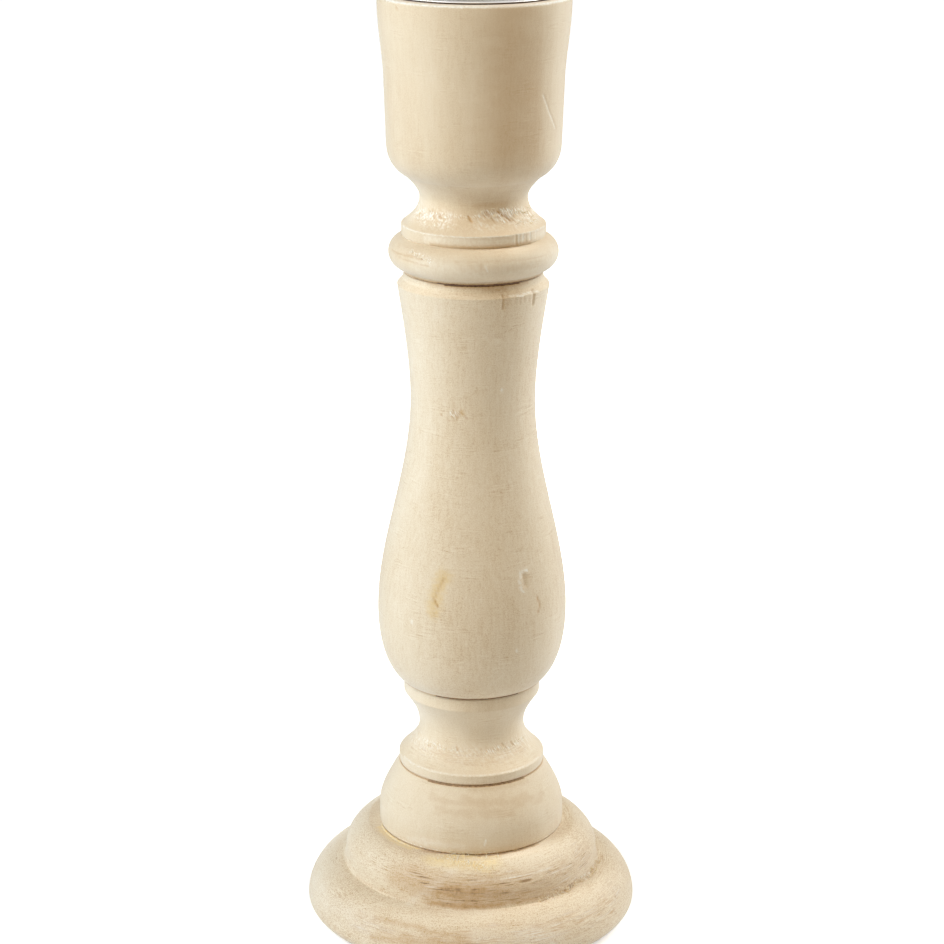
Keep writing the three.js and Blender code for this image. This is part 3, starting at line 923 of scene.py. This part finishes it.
def turning_tree():
    """The tree that turns a profile about Z and leaves the marks of the tool on it."""
    desk = NodeDesk(bpy.data.node_groups.new("Turned section", "GeometryNodeTree"))
    profile, sides, ripple_depth, tear_depth, seed, material = desk.sockets(
        Profile="Geometry",
        Sides="Int",
        Ripple_depth="Float",
        Tear_depth="Float",
        Seed="Int",
        Material="Material",
    )
    columns = desk.whole("ADD", sides, 1)
    rows = desk.add("GeometryNodeAttributeDomainSize", {"Geometry": profile}, component="MESH")
    grid = desk.add("GeometryNodeMeshGrid", {"Vertices X": rows, "Vertices Y": columns})
    index = desk.add("GeometryNodeInputIndex")
    row = desk.whole("DIVIDE", index, columns)
    column = desk.whole("MODULO", index, columns)
    place = desk.add("GeometryNodeInputPosition")
    torn = desk.carried("torn")

    def sampled(value, data_type):
        inputs = {"Geometry": profile, "Value": value, "Index": row}
        return desk.add("GeometryNodeSampleIndex", inputs, data_type=data_type)

    # The seam of the turned surface is at the back
    station = desk.split(sampled(place, "FLOAT_VECTOR"))
    angle = desk.times(desk.math("DIVIDE", column, sides), math.tau)
    x = desk.times(station["X"], desk.math("SINE", angle))
    y = desk.times(station["X"], desk.math("COSINE", angle))
    turned_place = desk.join(X=x, Y=y, Z=station["Z"])

    mapped = desk.store(grid, UNROLLED_MAP, grid.outputs["UV Map"], "FLOAT2", "CORNER")
    stained = desk.store(mapped, "stain", sampled(desk.carried("stain"), "FLOAT"))
    zoned = desk.store(stained, "torn", sampled(torn, "FLOAT"))
    turned = desk.add("GeometryNodeSetPosition", {"Geometry": zoned, "Position": turned_place})
    closed = desk.add("GeometryNodeMergeByDistance", {"Geometry": turned, "Distance": MERGE_DISTANCE})

    patches = desk.remap(desk.noise(place, TORN_PATCHES, seed), 0.34, 0.54)
    flecks = desk.remap(desk.noise(leaning(desk, place), TORN_FLECKS, seed), 0.46, 0.6)
    marked = desk.store(closed, "torn", desk.times(torn, desk.times(patches, flecks)))
    ripple = desk.times(desk.noise(place, TOOL_RIPPLE, seed), ripple_depth)
    sunk = desk.math("ADD", ripple, desk.times(torn, tear_depth))
    normal = desk.add("GeometryNodeInputNormal")
    inwards = desk.add(
        "ShaderNodeVectorMath", {0: normal, "Scale": desk.times(sunk, -1.0)}, operation="SCALE"
    )
    tooled = desk.add("GeometryNodeSetPosition", {"Geometry": marked, "Offset": inwards})
    return desk.finish(tooled, material)


def fibre_tree():
    """The tree that raises loose fibres wherever a surface is frayed."""
    desk = NodeDesk(bpy.data.node_groups.new("Torn fibres", "GeometryNodeTree"))
    surface, density, reach, width, seed, material = desk.sockets(
        Surface="Geometry", Density="Float", Length="Float", Width="Float", Seed="Int", Material="Material"
    )
    points = desk.add(
        "GeometryNodeDistributePointsOnFaces",
        {"Mesh": surface, "Density": desk.times(desk.carried("fray"), density), "Seed": seed},
    )
    knee = desk.join(Z=desk.times(reach, FIBRE_KNEE))
    tip = desk.join(X=desk.times(reach, FIBRE_BEND), Z=reach)
    curve = desk.add(
        "GeometryNodeCurveQuadraticBezier",
        {"Resolution": FIBRE_STEPS, "Start": (0, 0, 0), "Middle": knee, "End": tip},
    )
    section = desk.add("GeometryNodeCurvePrimitiveCircle", {"Resolution": FIBRE_STEPS, "Radius": width})
    taper = desk.remap(desk.add("GeometryNodeSplineParameter"), 0.0, 1.0, 1.0, FIBRE_TIP)
    fibre = desk.add(
        "GeometryNodeCurveToMesh",
        {"Curve": curve, "Profile Curve": section, "Scale": taper, "Fill Caps": True},
    )

    def chance(low, high, data_type):
        inputs = {"Min": low, "Max": high, "Seed": seed}
        return desk.add("FunctionNodeRandomValue", inputs, data_type=data_type)

    sway = chance(-FIBRE_SWAY, FIBRE_SWAY, "FLOAT_VECTOR")
    aim = desk.vector("ADD", points.outputs["Normal"], sway)
    pointed = desk.add("FunctionNodeAlignRotationToVector", {"Vector": aim}, axis="Z")
    size = chance(*FIBRE_SIZES, "FLOAT")
    fibres = desk.add(
        "GeometryNodeInstanceOnPoints",
        {"Points": points, "Instance": fibre, "Rotation": pointed, "Scale": size},
    )
    return desk.finish(fibres, material)


def new_object(name, data):
    """A new object at the origin."""
    made = bpy.data.objects.new(name, data)
    bpy.context.scene.collection.objects.link(made)
    return made


def grow(obj, name, make, **values):
    """Runs the node tree of that name, made once, on an object and keeps the result as its plain mesh."""
    tree = bpy.data.node_groups.get(name) or make()
    modifier = obj.modifiers.new(name, "NODES")
    modifier.node_group = tree
    for socket in tree.interface.items_tree:
        if socket.name in values:
            modifier[socket.identifier] = values[socket.name]
    graph = bpy.context.evaluated_depsgraph_get()
    grown = obj.evaluated_get(graph)
    made = bpy.data.meshes.new_from_object(grown, preserve_all_data_layers=True, depsgraph=graph)
    obj.modifiers.remove(modifier)
    obj.data = made
    if not made.polygons:
        raise RuntimeError(f"{obj.name}: the tree made no faces")


def traced(profile, path):
    """A mark's path as close points on the surface."""
    points = [profile.spot(path[0][0], *np.multiply(path[0][1:], MM))]
    for start, end in zip(path, path[1:]):
        gap = math.dist(points[-1], profile.spot(end[0], *np.multiply(end[1:], MM)))
        steps = max(1, math.ceil(gap / TRACE_PITCH))
        for step in range(1, steps + 1):
            degrees, *rest = np.array(start) + np.subtract(end, start) * step / steps
            points.append(profile.spot(degrees, *np.multiply(rest, MM)))
    return np.array(points)


def distance_to_path(places, path):
    """How far each place is from a path of straight steps."""
    nearest = np.full(len(places), np.inf)
    for start, end in zip(path, path[1:]):
        step = end - start
        along = np.clip((places - start) @ step / (step @ step), 0, 1)
        gap = np.linalg.norm(places - start - along[:, None] * step, axis=1)
        nearest = np.minimum(nearest, gap)
    return nearest


def press_marks(mesh, profile, marks):
    """Presses the marks into a turned surface and leaves their tones on its points."""
    total = len(mesh.vertices)
    places, normals = np.zeros(total * 3), np.zeros(total * 3)
    mesh.vertices.foreach_get("co", places)
    mesh.vertex_normals.foreach_get("vector", normals)
    places, normals = places.reshape(-1, 3), normals.reshape(-1, 3)
    tones = {}
    for name in TONES:
        tones[name] = np.zeros(total)
        if name in mesh.attributes:
            mesh.attributes[name].data.foreach_get("value", tones[name])
    sunk = np.zeros(total)
    for mark in marks:
        width = mark.width * MM
        path = traced(profile, mark.path)
        reach = width * (1 + mark.ragged)
        beside = (places > path.min(axis=0) - reach) & (places < path.max(axis=0) + reach)
        near = np.flatnonzero(beside.all(axis=1))
        gaps = distance_to_path(places[near], path) / width
        lumps = places[near] * (1, 1, STREAK) / (mark.lump * MM)
        rough = np.array([noise.noise(Vector(lump)) for lump in lumps])
        inside = np.clip(1 - gaps + mark.ragged * rough, 0, 1)
        force = inside * inside * (3 - 2 * inside)
        sunk[near] = np.maximum(sunk[near], force * mark.depth * MM)
        for name in TONES:
            tones[name][near] = np.maximum(tones[name][near], force * getattr(mark, name))
    mesh.vertices.foreach_set("co", (places - normals * sunk[:, None]).ravel())
    for name in TONES:
        attribute = mesh.attributes.get(name) or mesh.attributes.new(name, "FLOAT", "POINT")
        attribute.data.foreach_set("value", tones[name])
    mesh.update()


def turned_piece(name, profile, sides, material, marks=(), seed=0, ripple_depth=0.0, tear_depth=0.0):
    """A piece turned from its profile, with its marks."""
    piece = new_object(name, profile.mesh(name))
    grow(
        piece,
        "Turned section",
        turning_tree,
        Sides=sides,
        Ripple_depth=ripple_depth,
        Tear_depth=tear_depth,
        Seed=seed,
        Material=material,
    )
    press_marks(piece.data, profile, marks)
    return piece


def wooden_piece(name, node, profile, sizes, look, marks):
    """A turned wooden section that stands for its solid."""
    wood = bpy.context.scene.candle_holder.wood
    depths = wood.ripple_depth, wood.tear_depth
    piece = turned_piece(name, profile, sizes.sides, raw_wood(look), marks, look.seed, *depths)
    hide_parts(node)
    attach(piece, "stand")
    return piece


def loose_fibres(name, surface, look):
    """Fibres that stand off the torn places of a section."""
    wood = bpy.context.scene.candle_holder.wood
    fibres = new_object(name, surface.data.copy())
    grow(
        fibres,
        "Torn fibres",
        fibre_tree,
        Density=look.loose,
        Length=wood.fibre_length,
        Width=wood.fibre_width,
        Seed=look.seed,
        Material=fibre_material(),
    )
    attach(fibres, "stand")


# The look of a section's wood: its material's name and seed, its loose fibres to the square metre of frayed
# grain, the grain's features each way as shares, how far the tool's lines follow rings instead of heights,
# how deep its tone is from 0 to 1, and how strongly each layer shows: soft clouds, broad figure, fine fibres,
# the tool's hatching and fine grit
Look = namedtuple("Look", "name seed loose grain rings tone clouds figure fibres hatch grit")
UPRIGHT = (1.0, 1.0, 0.11)
ACROSS = (0.06, 1.0, 1.0)
BASE_LOOK = Look("Base wood", 1, 3e6, ACROSS, 1.0, 0.42, 0.9, 0.25, 0.4, 2.8, 2.0)
DOME_LOOK = Look("Dome wood", 2, 9e6, UPRIGHT, 1.0, 0.41, 0.6, 0.4, 0.25, 1.2, 0.7)
COLLAR_LOOK = Look("Collar wood", 3, 1e6, UPRIGHT, 0.0, 0.41, 0.5, 0.4, 0.3, 1.3, 0.7)
STEM_LOOK = Look("Stem wood", 4, 0.0, UPRIGHT, 0.0, 0.42, 0.5, 0.4, 0.5, 1.3, 1.0)
CUP_LOOK = Look("Cup wood", 5, 1e6, UPRIGHT, 0.0, 0.5, 0.5, 0.4, 0.2, 0.6, 0.4)

# A layer of noise in raw wood: its features per metre each way, its seed beyond the section's own, its detail
# and its roughness
Layer = namedtuple("Layer", "features seed detail roughness", defaults=(2.0, 0.5))
CLOUDS = Layer((34, 34, 34), 10, 3.0)
FIGURE = Layer((110, 110, 110), 11, 3.0, 0.55)
FIBRES = Layer((1500, 1500, 1500), 12, 3.0, 0.6)
HATCH = Layer((240, 240, 3000), 13, 2.0, 0.6)
HATCH_BANDS = Layer((110, 110, 300), 14)
GRIT = Layer((3600, 3600, 3600), 15, 1.0)
RAGGED = Layer((1500, 1500, 900), 16)
LINES = Layer((110, 110, 2300), 17, 3.0, 0.65)
STROKES = Layer((2900, 2900, 800), 18, 1.0)
# How strongly scratches change the tone of scratchy grain
SCRATCH_CONTRAST = 8.0
SHEEN_ROUGHNESS = 0.5


def cleared(owner):
    """The desk of a material or a world whose nodes were cleared away."""
    owner.use_nodes = True
    owner.node_tree.nodes.clear()
    return NodeDesk(owner.node_tree)


def new_material(name):
    """An empty material, its desk and the place of each of its points."""
    material = bpy.data.materials.new(name)
    desk = cleared(material)
    return material, desk, desk.add("ShaderNodeTexCoord").outputs["Object"]


def raw_wood(look):
    """Raw turned wood, from its palest stretches to its darkest growth lines."""
    wood = bpy.context.scene.candle_holder.wood
    material, desk, place = new_material(look.name)
    rings = ringed(desk, place, look.rings)
    rough, fray, stain = desk.tone("rough"), desk.tone("fray"), desk.tone("stain")

    def layer(kind, at=place, grain=(1.0, 1.0, 1.0)):
        features = np.multiply(kind.features, grain)
        return desk.noise(at, features, look.seed + kind.seed, kind.detail, kind.roughness)

    # Layers that make the wood's tone deeper or lighter
    fibres = layer(FIBRES, grain=look.grain)
    grit = layer(GRIT)
    hatch_bands = desk.remap(layer(HATCH_BANDS), 0.46, 0.7)
    tooling = desk.times(desk.math("SUBTRACT", layer(HATCH, rings), 0.5), hatch_bands)
    lines = layer(LINES, rings)
    scratches = desk.times(desk.math("SUBTRACT", lines, 0.5), rough)
    depth = desk.layered(
        look.tone,
        (layer(CLOUDS), look.clouds),
        (layer(FIGURE, grain=look.grain), look.figure),
        (fibres, look.fibres),
        (grit, look.grit),
    )
    depth = desk.times_plus(tooling, look.hatch, depth)
    depth = desk.times_plus(scratches, SCRATCH_CONTRAST, depth)
    base = desk.ramp(depth, (0.15, wood.light), (0.5, wood.mid), (0.9, wood.deep))

    # Glue, pale torn grain and dark stain over it, each with a ragged strength. Some marks use these tones
    # for
    # painted light: glue and torn grain for painted highlights, stain for painted shade.
    ragged = desk.remap(layer(RAGGED), 0.3, 0.7, 0.6, 1.25)
    strokes = layer(STROKES, leaning(desk, place))
    pale_strokes = desk.times(fray, desk.remap(strokes, 0.52, 0.62))
    pale_lines = desk.times(rough, desk.remap(lines, 0.53, 0.62, 0.0, 0.75))
    dark_strokes = desk.times(fray, desk.remap(strokes, 0.42, 0.32, 0.0, 0.6))
    dark_lines = desk.times(rough, desk.remap(lines, 0.48, 0.39, 0.0, 0.95))
    pale = desk.math("ADD", pale_strokes, pale_lines)
    dark = desk.times(desk.math("ADD", dark_strokes, dark_lines), desk.math("SUBTRACT", 1.0, stain))
    stain_and_shade_strength = desk.times_plus(stain, desk.remap(ragged, 0.6, 1.25, 0.9, 1.08), dark)
    dirt_and_shade = desk.mix(desk.remap(stain_and_shade_strength, 0.65, 1.05), rgba(wood.amber), rgba(wood.brown))
    base = desk.mix(desk.times(desk.tone("glue"), ragged), base, rgba(wood.glue))
    base = desk.mix(desk.times_plus(desk.tone("torn"), ragged, pale), base, rgba(wood.torn))
    base = desk.mix(stain_and_shade_strength, base, dirt_and_shade)

    height = desk.layered(
        0.0, (fibres, 0.5), (tooling, 1.0), (grit, 0.5), (scratches, 1.5), (pale_strokes, 1.5)
    )
    desk.dress(
        base,
        desk.remap(fibres, 0.2, 0.8, 0.6, 0.8),
        Normal=desk.relief(height, 0.5, 0.1),
        Sheen_Weight=wood.sheen,
        Sheen_Roughness=SHEEN_ROUGHNESS,
    )
    return material


def fibre_material():
    """Loose fibres, paler than the wood they were torn from, in one material for all sections."""
    made = bpy.data.materials.get("Torn fibres")
    if made:
        return made
    wood = bpy.context.scene.candle_holder.wood
    material, desk, place = new_material("Torn fibres")
    patches = desk.remap(desk.noise(place, (700, 700, 300), 31), 0.3, 0.7)
    desk.dress(desk.mix(patches, rgba(wood.torn), rgba(wood.glue)), 0.75)
    return material


def glue_material():
    """Dried glue: yellowish and crusty."""
    wood = bpy.context.scene.candle_holder.wood
    material, desk, place = new_material("Dried glue")
    crust = desk.noise(place, (900, 900, 900), 41, 3.0, 0.6)
    base = desk.mix(desk.remap(crust, 0.35, 0.7), rgba(wood.glue), rgba(wood.light))
    desk.dress(base, desk.remap(crust, 0.3, 0.7, 0.4, 0.7), Normal=desk.relief(crust, 0.6, 0.2))
    return material


def dowel_material():
    """Plain fluted dowel wood with straight grain."""
    wood = bpy.context.scene.candle_holder.wood
    material, desk, place = new_material("Dowel wood")
    streaks = desk.noise(place, (900, 900, 40), 51, 3.0, 0.6)
    base = desk.mix(desk.remap(streaks, 0.35, 0.75), rgba(wood.mid), rgba(wood.deep))
    desk.dress(base, 0.7, Normal=desk.relief(streaks, 0.4, 0.1))
    return material


def sheet_material():
    """Bright drawn sheet with fine rings from drawing and duller rubbed patches."""
    metal = bpy.context.scene.candle_holder.metal
    material, desk, place = new_material("Drawn sheet")
    x, y, z = desk.split(place)
    rings = desk.noise(desk.join(X=desk.reach(desk.join(X=x, Y=y)), Z=z), (2600, 1, 2600), 61, 2.0, 0.6)
    rubs = desk.remap(desk.noise(place, (160, 160, 160), 62, 3.0), 0.35, 0.7)
    base = desk.mix(rubs, rgba(metal.bright), rgba(metal.dull))
    # Darker on the flange's cut edge: dirt and painted shade
    base = desk.mix(desk.tone("stain"), base, rgba(metal.dirt_and_shade))
    roughness = desk.times_plus(rings, 0.08, desk.remap(rubs, 0.0, 1.0, 0.24, 0.4))
    desk.dress(base, roughness, Metallic=1.0, Normal=desk.relief(rings, 0.25, 0.03))
    return material


class TurnBase(Operator):
    """Turns the two-tier base"""

    bl_idname = "candle_holder.turn_base"
    bl_label = "Turn base"

    def execute(self, context):
        sizes = context.scene.candle_holder.base
        radius, top = radius_of("base"), top_of("base")
        bore = bore_of("lower_dowel")
        socket = foot_of("lower_dowel") - GLUE_ROOM
        profile = (
            Profile(0, 0)
            .hidden(radius - sizes.foot_round_width, 0)
            .corner(radius, sizes.foot_round_height, False)
            .flow(sizes.crease_radius, sizes.crease_height, TIER_NOSE)
            .flow(sizes.side_radius, sizes.side_height, TIER_FLARE)
            .flow(sizes.crown_radius, top, TIER_CROWN)
            .line(radius_of("pedestal_dome") - LEDGE_LAP, top)
            .hidden(bore, top)
            .hidden(bore, socket)
            .hidden(0, socket)
        )
        piece = wooden_piece("turned_base", "base", profile, sizes, BASE_LOOK, BASE_MARKS)
        loose_fibres("base_fibres", piece, BASE_LOOK)
        return {"FINISHED"}


class TurnDome(Operator):
    """Turns the pedestal dome"""

    bl_idname = "candle_holder.turn_dome"
    bl_label = "Turn dome"

    def execute(self, context):
        sizes = context.scene.candle_holder.dome
        radius, foot, top = extent("pedestal_dome")
        bore = bore_of("lower_dowel")
        profile = (
            Profile(bore, foot - JOINT_FILM)
            .jointed(radius - sizes.foot_ease, foot)
            .line(radius, foot + sizes.foot_ease, tear=1.0)
            .line(radius, foot + sizes.side_height)
            .flow(radius_of("cove_collar"), top, DOME_CROWN)
            .hidden(bore, top)
            .close()
        )
        piece = wooden_piece("turned_dome", "pedestal_dome", profile, sizes, DOME_LOOK, DOME_MARKS)
        loose_fibres("dome_fibres", piece, DOME_LOOK)
        return {"FINISHED"}


class TurnCollar(Operator):
    """Turns the cove collar"""

    bl_idname = "candle_holder.turn_collar"
    bl_label = "Turn collar"

    def execute(self, context):
        sizes = context.scene.candle_holder.collar
        radius, foot, top = extent("cove_collar")
        bore = bore_of("lower_dowel")
        cove = foot + sizes.band_height
        profile = (
            Profile(bore, foot - JOINT_FILM)
            .jointed(radius - sizes.edge_ease, foot)
            .line(radius, foot + sizes.edge_ease)
            .line(radius, cove - sizes.band_lip)
            .line(radius - sizes.band_lip, cove)
            .flow(sizes.waist_radius, cove + sizes.waist_rise, COVE_IN, tear=0.4)
            .flow(sizes.fillet_radius, top - sizes.fillet_height, COVE_OUT)
            .line(sizes.fillet_radius, top - sizes.edge_ease)
            .line(sizes.fillet_radius - sizes.edge_ease, top)
            .hidden(bore, top)
            .close()
        )
        piece = wooden_piece("turned_collar", "cove_collar", profile, sizes, COLLAR_LOOK, COLLAR_MARKS)
        loose_fibres("collar_fibres", piece, COLLAR_LOOK)
        return {"FINISHED"}


class TurnBaluster(Operator):
    """Turns the vase-shaped stem"""

    bl_idname = "candle_holder.turn_baluster"
    bl_label = "Turn baluster"

    def execute(self, context):
        sizes = context.scene.candle_holder.baluster
        radius, foot, top = extent("baluster")
        bore = bore_of("lower_dowel")
        lower_socket = top_of("lower_dowel") + GLUE_ROOM
        upper_socket = foot_of("upper_dowel") - GLUE_ROOM
        bevel_top = top - sizes.neck_height
        lip = bevel_top - sizes.lip_chamfer
        profile = (
            Profile(0, lower_socket)
            .hidden(bore, lower_socket)
            .hidden(bore, foot - JOINT_FILM)
            .jointed(sizes.foot_radius, foot)
            .flow(radius, foot + sizes.belly_rise, BELLY_OUT)
            .flow(sizes.waist_radius, lip - sizes.flare_rise, VASE_TAPER)
            .flow(sizes.lip_radius, lip, VASE_FLARE)
            .line(sizes.neck_radius + sizes.neck_spread, bevel_top)
            .line(sizes.neck_radius, top)
            .hidden(bore, top)
            .hidden(bore, upper_socket)
            .hidden(0, upper_socket)
        )
        wooden_piece("turned_baluster", "baluster", profile, sizes, STEM_LOOK, BALUSTER_MARKS)
        return {"FINISHED"}


class TurnCup(Operator):
    """Turns the candle cup with its bead and neck"""

    bl_idname = "candle_holder.turn_cup"
    bl_label = "Turn cup"

    def execute(self, context):
        sizes = context.scene.candle_holder.cup
        insert = context.scene.candle_holder.insert
        rim, foot, top = extent("candle_cup")
        dowel_bore = bore_of("upper_dowel")
        socket = top_of("upper_dowel") + GLUE_ROOM
        bore = insert.wall_radius + sizes.bore_room
        bore_floor = foot_of("metal_insert") - sizes.bore_room
        bead = foot + sizes.foot_height
        fillet = bead + sizes.bead_height + sizes.quirk
        fillet_top = fillet + sizes.fillet_height
        neck = fillet_top + sizes.neck_rise
        throat = neck + sizes.throat_rise
        wall = throat + sizes.shoulder_rise
        profile = (
            Profile(0, socket)
            .hidden(dowel_bore, socket)
            .hidden(dowel_bore, foot - JOINT_FILM)
            .jointed(sizes.foot_radius, foot)
            .line(sizes.fillet_radius - sizes.quirk, bead)
            .bead(sizes.bead_height, sizes.bead_depth)
            .line(sizes.fillet_radius, fillet)
            .line(sizes.fillet_radius, fillet_top)
            .flow(sizes.neck_radius, neck, NECK_IN, tear=1.0)
            .flow(sizes.throat_radius, throat, THROAT_OUT)
            .flow(sizes.wall_foot_radius, wall, CUP_SHOULDER)
            .line(sizes.wall_radius, wall + sizes.wall_rise)
            .flow(rim, top - sizes.rim_round, RIM_FLARE)
            .corner(rim - sizes.rim_round, top, True)
            .line(bore + sizes.bore_ease, top)
            .line(bore, top - sizes.bore_ease)
            .hidden(bore, bore_floor)
            .hidden(0, bore_floor)
        )
        piece = wooden_piece("turned_cup", "candle_cup", profile, sizes, CUP_LOOK, CUP_MARKS)
        loose_fibres("cup_fibres", piece, CUP_LOOK)
        return {"FINISHED"}


class LayGlue(Operator):
    """Lays the crust of dried glue along the joint between the base and the dome"""

    bl_idname = "candle_holder.lay_glue"
    bl_label = "Lay glue"

    def execute(self, context):
        wood = context.scene.candle_holder.wood
        radius, ledge = radius_of("pedestal_dome"), top_of("base")
        sides = len(CRUST_SECTION)
        points, faces = [], []
        for start, end in GLUE_RUNS:
            steps = round((end - start) / GLUE_STEP)
            first = len(points)
            for step in range(steps + 1):
                angle = math.radians(start + (end - start) * step / steps)
                lump = CRUST_SIZE + CRUST_CHANGE * noise.noise(Vector((CRUST_PACE * step, start, 0)))
                swell = max(CRUST_LEAST, lump * math.sin(math.pi * step / steps) ** 0.5)
                for across, rise in CRUST_SECTION:
                    reach = radius + across * swell * wood.glue_width
                    height = ledge + rise * swell * wood.glue_height
                    points.append((reach * math.sin(angle), -reach * math.cos(angle), height))
            for step in range(steps):
                here = first + sides * step
                for side in range(sides):
                    after = (side + 1) % sides
                    faces.append((here + side, here + sides + side, here + sides + after, here + after))
            last = first + sides * steps
            faces.append(tuple(range(first, first + sides)))
            faces.append(tuple(range(last + sides - 1, last - 1, -1)))
        mesh = bpy.data.meshes.new("glue_crust")
        mesh.from_pydata(points, [], faces)
        mesh.shade_smooth()
        mesh.materials.append(glue_material())
        crust = new_object("glue_crust", mesh)
        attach(crust, "stand")
        return {"FINISHED"}


class DrawInsert(Operator):
    """Draws the metal insert from sheet"""

    bl_idname = "candle_holder.draw_insert"
    bl_label = "Draw insert"

    def execute(self, context):
        sizes = context.scene.candle_holder.insert
        flange, under, top = extent("metal_insert")
        outer = sizes.wall_radius
        inner = outer - sizes.sheet
        floor = under + sizes.sheet
        outer_corner = sizes.corner + sizes.sheet
        profile = (
            Profile(0, under)
            .line(outer - outer_corner, under)
            .corner(outer, under + outer_corner, False)
            .line(outer, top - sizes.sheet)
            # The flange's cut edge is darkened: dirt and painted shade
            .line(flange, top - sizes.sheet, stain=1.0)
            .line(flange, top - sizes.sheet / 2, stain=1.0)
            .line(flange, top - sizes.edge_round)
            .corner(flange - sizes.edge_round, top, True)
            .line(outer, top)
            .corner(inner, top - sizes.sheet, False)
            .line(inner, floor + sizes.corner)
            .corner(inner - sizes.corner, floor, True)
            .line(0, floor)
        )
        piece = turned_piece("drawn_insert", profile, sizes.sides, sheet_material())
        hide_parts("metal_insert")
        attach(piece, "insert")
        return {"FINISHED"}


class FinishDowels(Operator):
    """Gives the two hidden dowels their wood"""

    bl_idname = "candle_holder.finish_dowels"
    bl_label = "Finish dowels"

    def execute(self, context):
        wood = dowel_material()
        for node in ("lower_dowel", "upper_dowel"):
            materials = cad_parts[node].data.materials
            materials.clear()
            materials.append(wood)
        return {"FINISHED"}


def add_lamp(lamp, stage):
    """A square soft lamp that faces the middle of the holder."""
    round_angle, up_angle = math.radians(lamp.azimuth), math.radians(lamp.elevation)
    aim = Vector((0, 0, stage.lamp_aim))
    level = stage.lamp_distance * math.cos(up_angle)
    rise = stage.lamp_distance * math.sin(up_angle)
    offset = Vector((level * math.sin(round_angle), -level * math.cos(round_angle), rise))
    light = bpy.data.lights.new(lamp.name, "AREA")
    light.shape = "SQUARE"
    light.size = stage.lamp_size
    light.energy = lamp.power
    light.color = lamp.colour
    made = new_object(lamp.name, light)
    made.location = aim + offset
    made.rotation_mode = "QUATERNION"
    made.rotation_quaternion = (-offset).to_track_quat("-Z", "Y")


def seen_rays(desk):
    """Rays from the camera, and rays by way of metal or glass, each 1 or 0."""
    path = desk.add("ShaderNodeLightPath").outputs
    return path["Is Camera Ray"], desk.math("MAXIMUM", path["Is Glossy Ray"], path["Is Transmission Ray"])


def floor_material(stage):
    """A pale floor that shows white, in the metal too, and keeps the holder's shadow near it."""
    material, desk, place = new_material("Pale floor")
    near = stage.shadow_reach
    lift = desk.remap(desk.reach(place), near, SHADOW_FADE * near, stage.floor_lift, 1.0)
    plain = desk.add("ShaderNodeBsdfDiffuse", {"Color": rgba(stage.floor_colour)})
    seen, mirrored = seen_rays(desk)
    lit = desk.add("ShaderNodeAddShader", {0: plain, 1: desk.glow(desk.times(seen, lift))})
    shown = desk.add("ShaderNodeMixShader", {0: mirrored, 1: lit, 2: desk.glow(1.0)})
    desk.add("ShaderNodeOutputMaterial", {"Surface": shown})
    return material


class SetStage(Operator):
    """Sets the camera, lamps, room light and floor"""

    bl_idname = "candle_holder.set_stage"
    bl_label = "Set stage"

    def execute(self, context):
        scene = context.scene
        stage = scene.candle_holder.stage
        scene.view_settings.view_transform = "Standard"

        camera = new_object("Camera", bpy.data.cameras.new("Camera"))
        camera.data.lens = stage.lens
        camera.data.sensor_width = SENSOR_WIDTH
        camera.location = stage.camera_place
        camera.rotation_mode = "QUATERNION"
        tilt = Quaternion((1, 0, 0), math.radians(90) - stage.camera_pitch)
        camera.rotation_quaternion = tilt @ Quaternion((0, 0, 1), stage.camera_roll)
        scene.camera = camera

        for lamp in LAMPS:
            add_lamp(lamp, stage)

        world = bpy.data.worlds.new("White room")
        desk = cleared(world)
        seen = desk.math("MAXIMUM", *seen_rays(desk))
        inputs = {"Factor": seen, "A": stage.room_light, "B": 1.0}
        strength = desk.add("ShaderNodeMix", inputs, data_type="FLOAT")
        light = desk.add("ShaderNodeBackground", {"Color": WHITE, "Strength": strength})
        desk.add("ShaderNodeOutputWorld", {"Surface": light})
        scene.world = world

        half = stage.floor_size / 2
        corners = [(x * half, y * half, -FLOOR_DROP) for x, y in ((-1, -1), (1, -1), (1, 1), (-1, 1))]
        sheet = bpy.data.meshes.new("floor")
        sheet.from_pydata(corners, [], [(0, 1, 2, 3)])
        sheet.materials.append(floor_material(stage))
        new_object("floor", sheet)
        return {"FINISHED"}


class HolderPanel(Panel):
    """Lists the steps that build the candle holder"""

    bl_idname = "VIEW3D_PT_candle_holder"
    bl_label = "Candle holder"
    bl_space_type = "VIEW_3D"
    bl_region_type = "UI"
    bl_category = "Candle holder"

    def draw(self, context):
        for step in STEPS:
            self.layout.operator(step.bl_idname)


STEPS = (SetStage, TurnBase, TurnDome, LayGlue, TurnCollar, TurnBaluster, TurnCup, DrawInsert, FinishDowels)
GROUPS = (
    BaseSizes,
    DomeSizes,
    CollarSizes,
    BalusterSizes,
    CupSizes,
    InsertSizes,
    WoodFinish,
    MetalFinish,
    StageSettings,
    HolderSettings,
)
CLASSES = (*GROUPS, *STEPS, HolderPanel)


def register():
    for cls in CLASSES:
        bpy.utils.register_class(cls)
    bpy.types.Scene.candle_holder = PointerProperty(type=HolderSettings)


def unregister():
    del bpy.types.Scene.candle_holder
    for cls in reversed(CLASSES):
        bpy.utils.unregister_class(cls)


def main():
    register()
    bpy.ops.candle_holder.set_stage()
    bpy.ops.candle_holder.turn_base()
    bpy.ops.candle_holder.turn_dome()
    bpy.ops.candle_holder.lay_glue()
    bpy.ops.candle_holder.turn_collar()
    bpy.ops.candle_holder.turn_baluster()
    bpy.ops.candle_holder.turn_cup()
    bpy.ops.candle_holder.draw_insert()
    bpy.ops.candle_holder.finish_dowels()


if __name__ == "__main__":
    main()
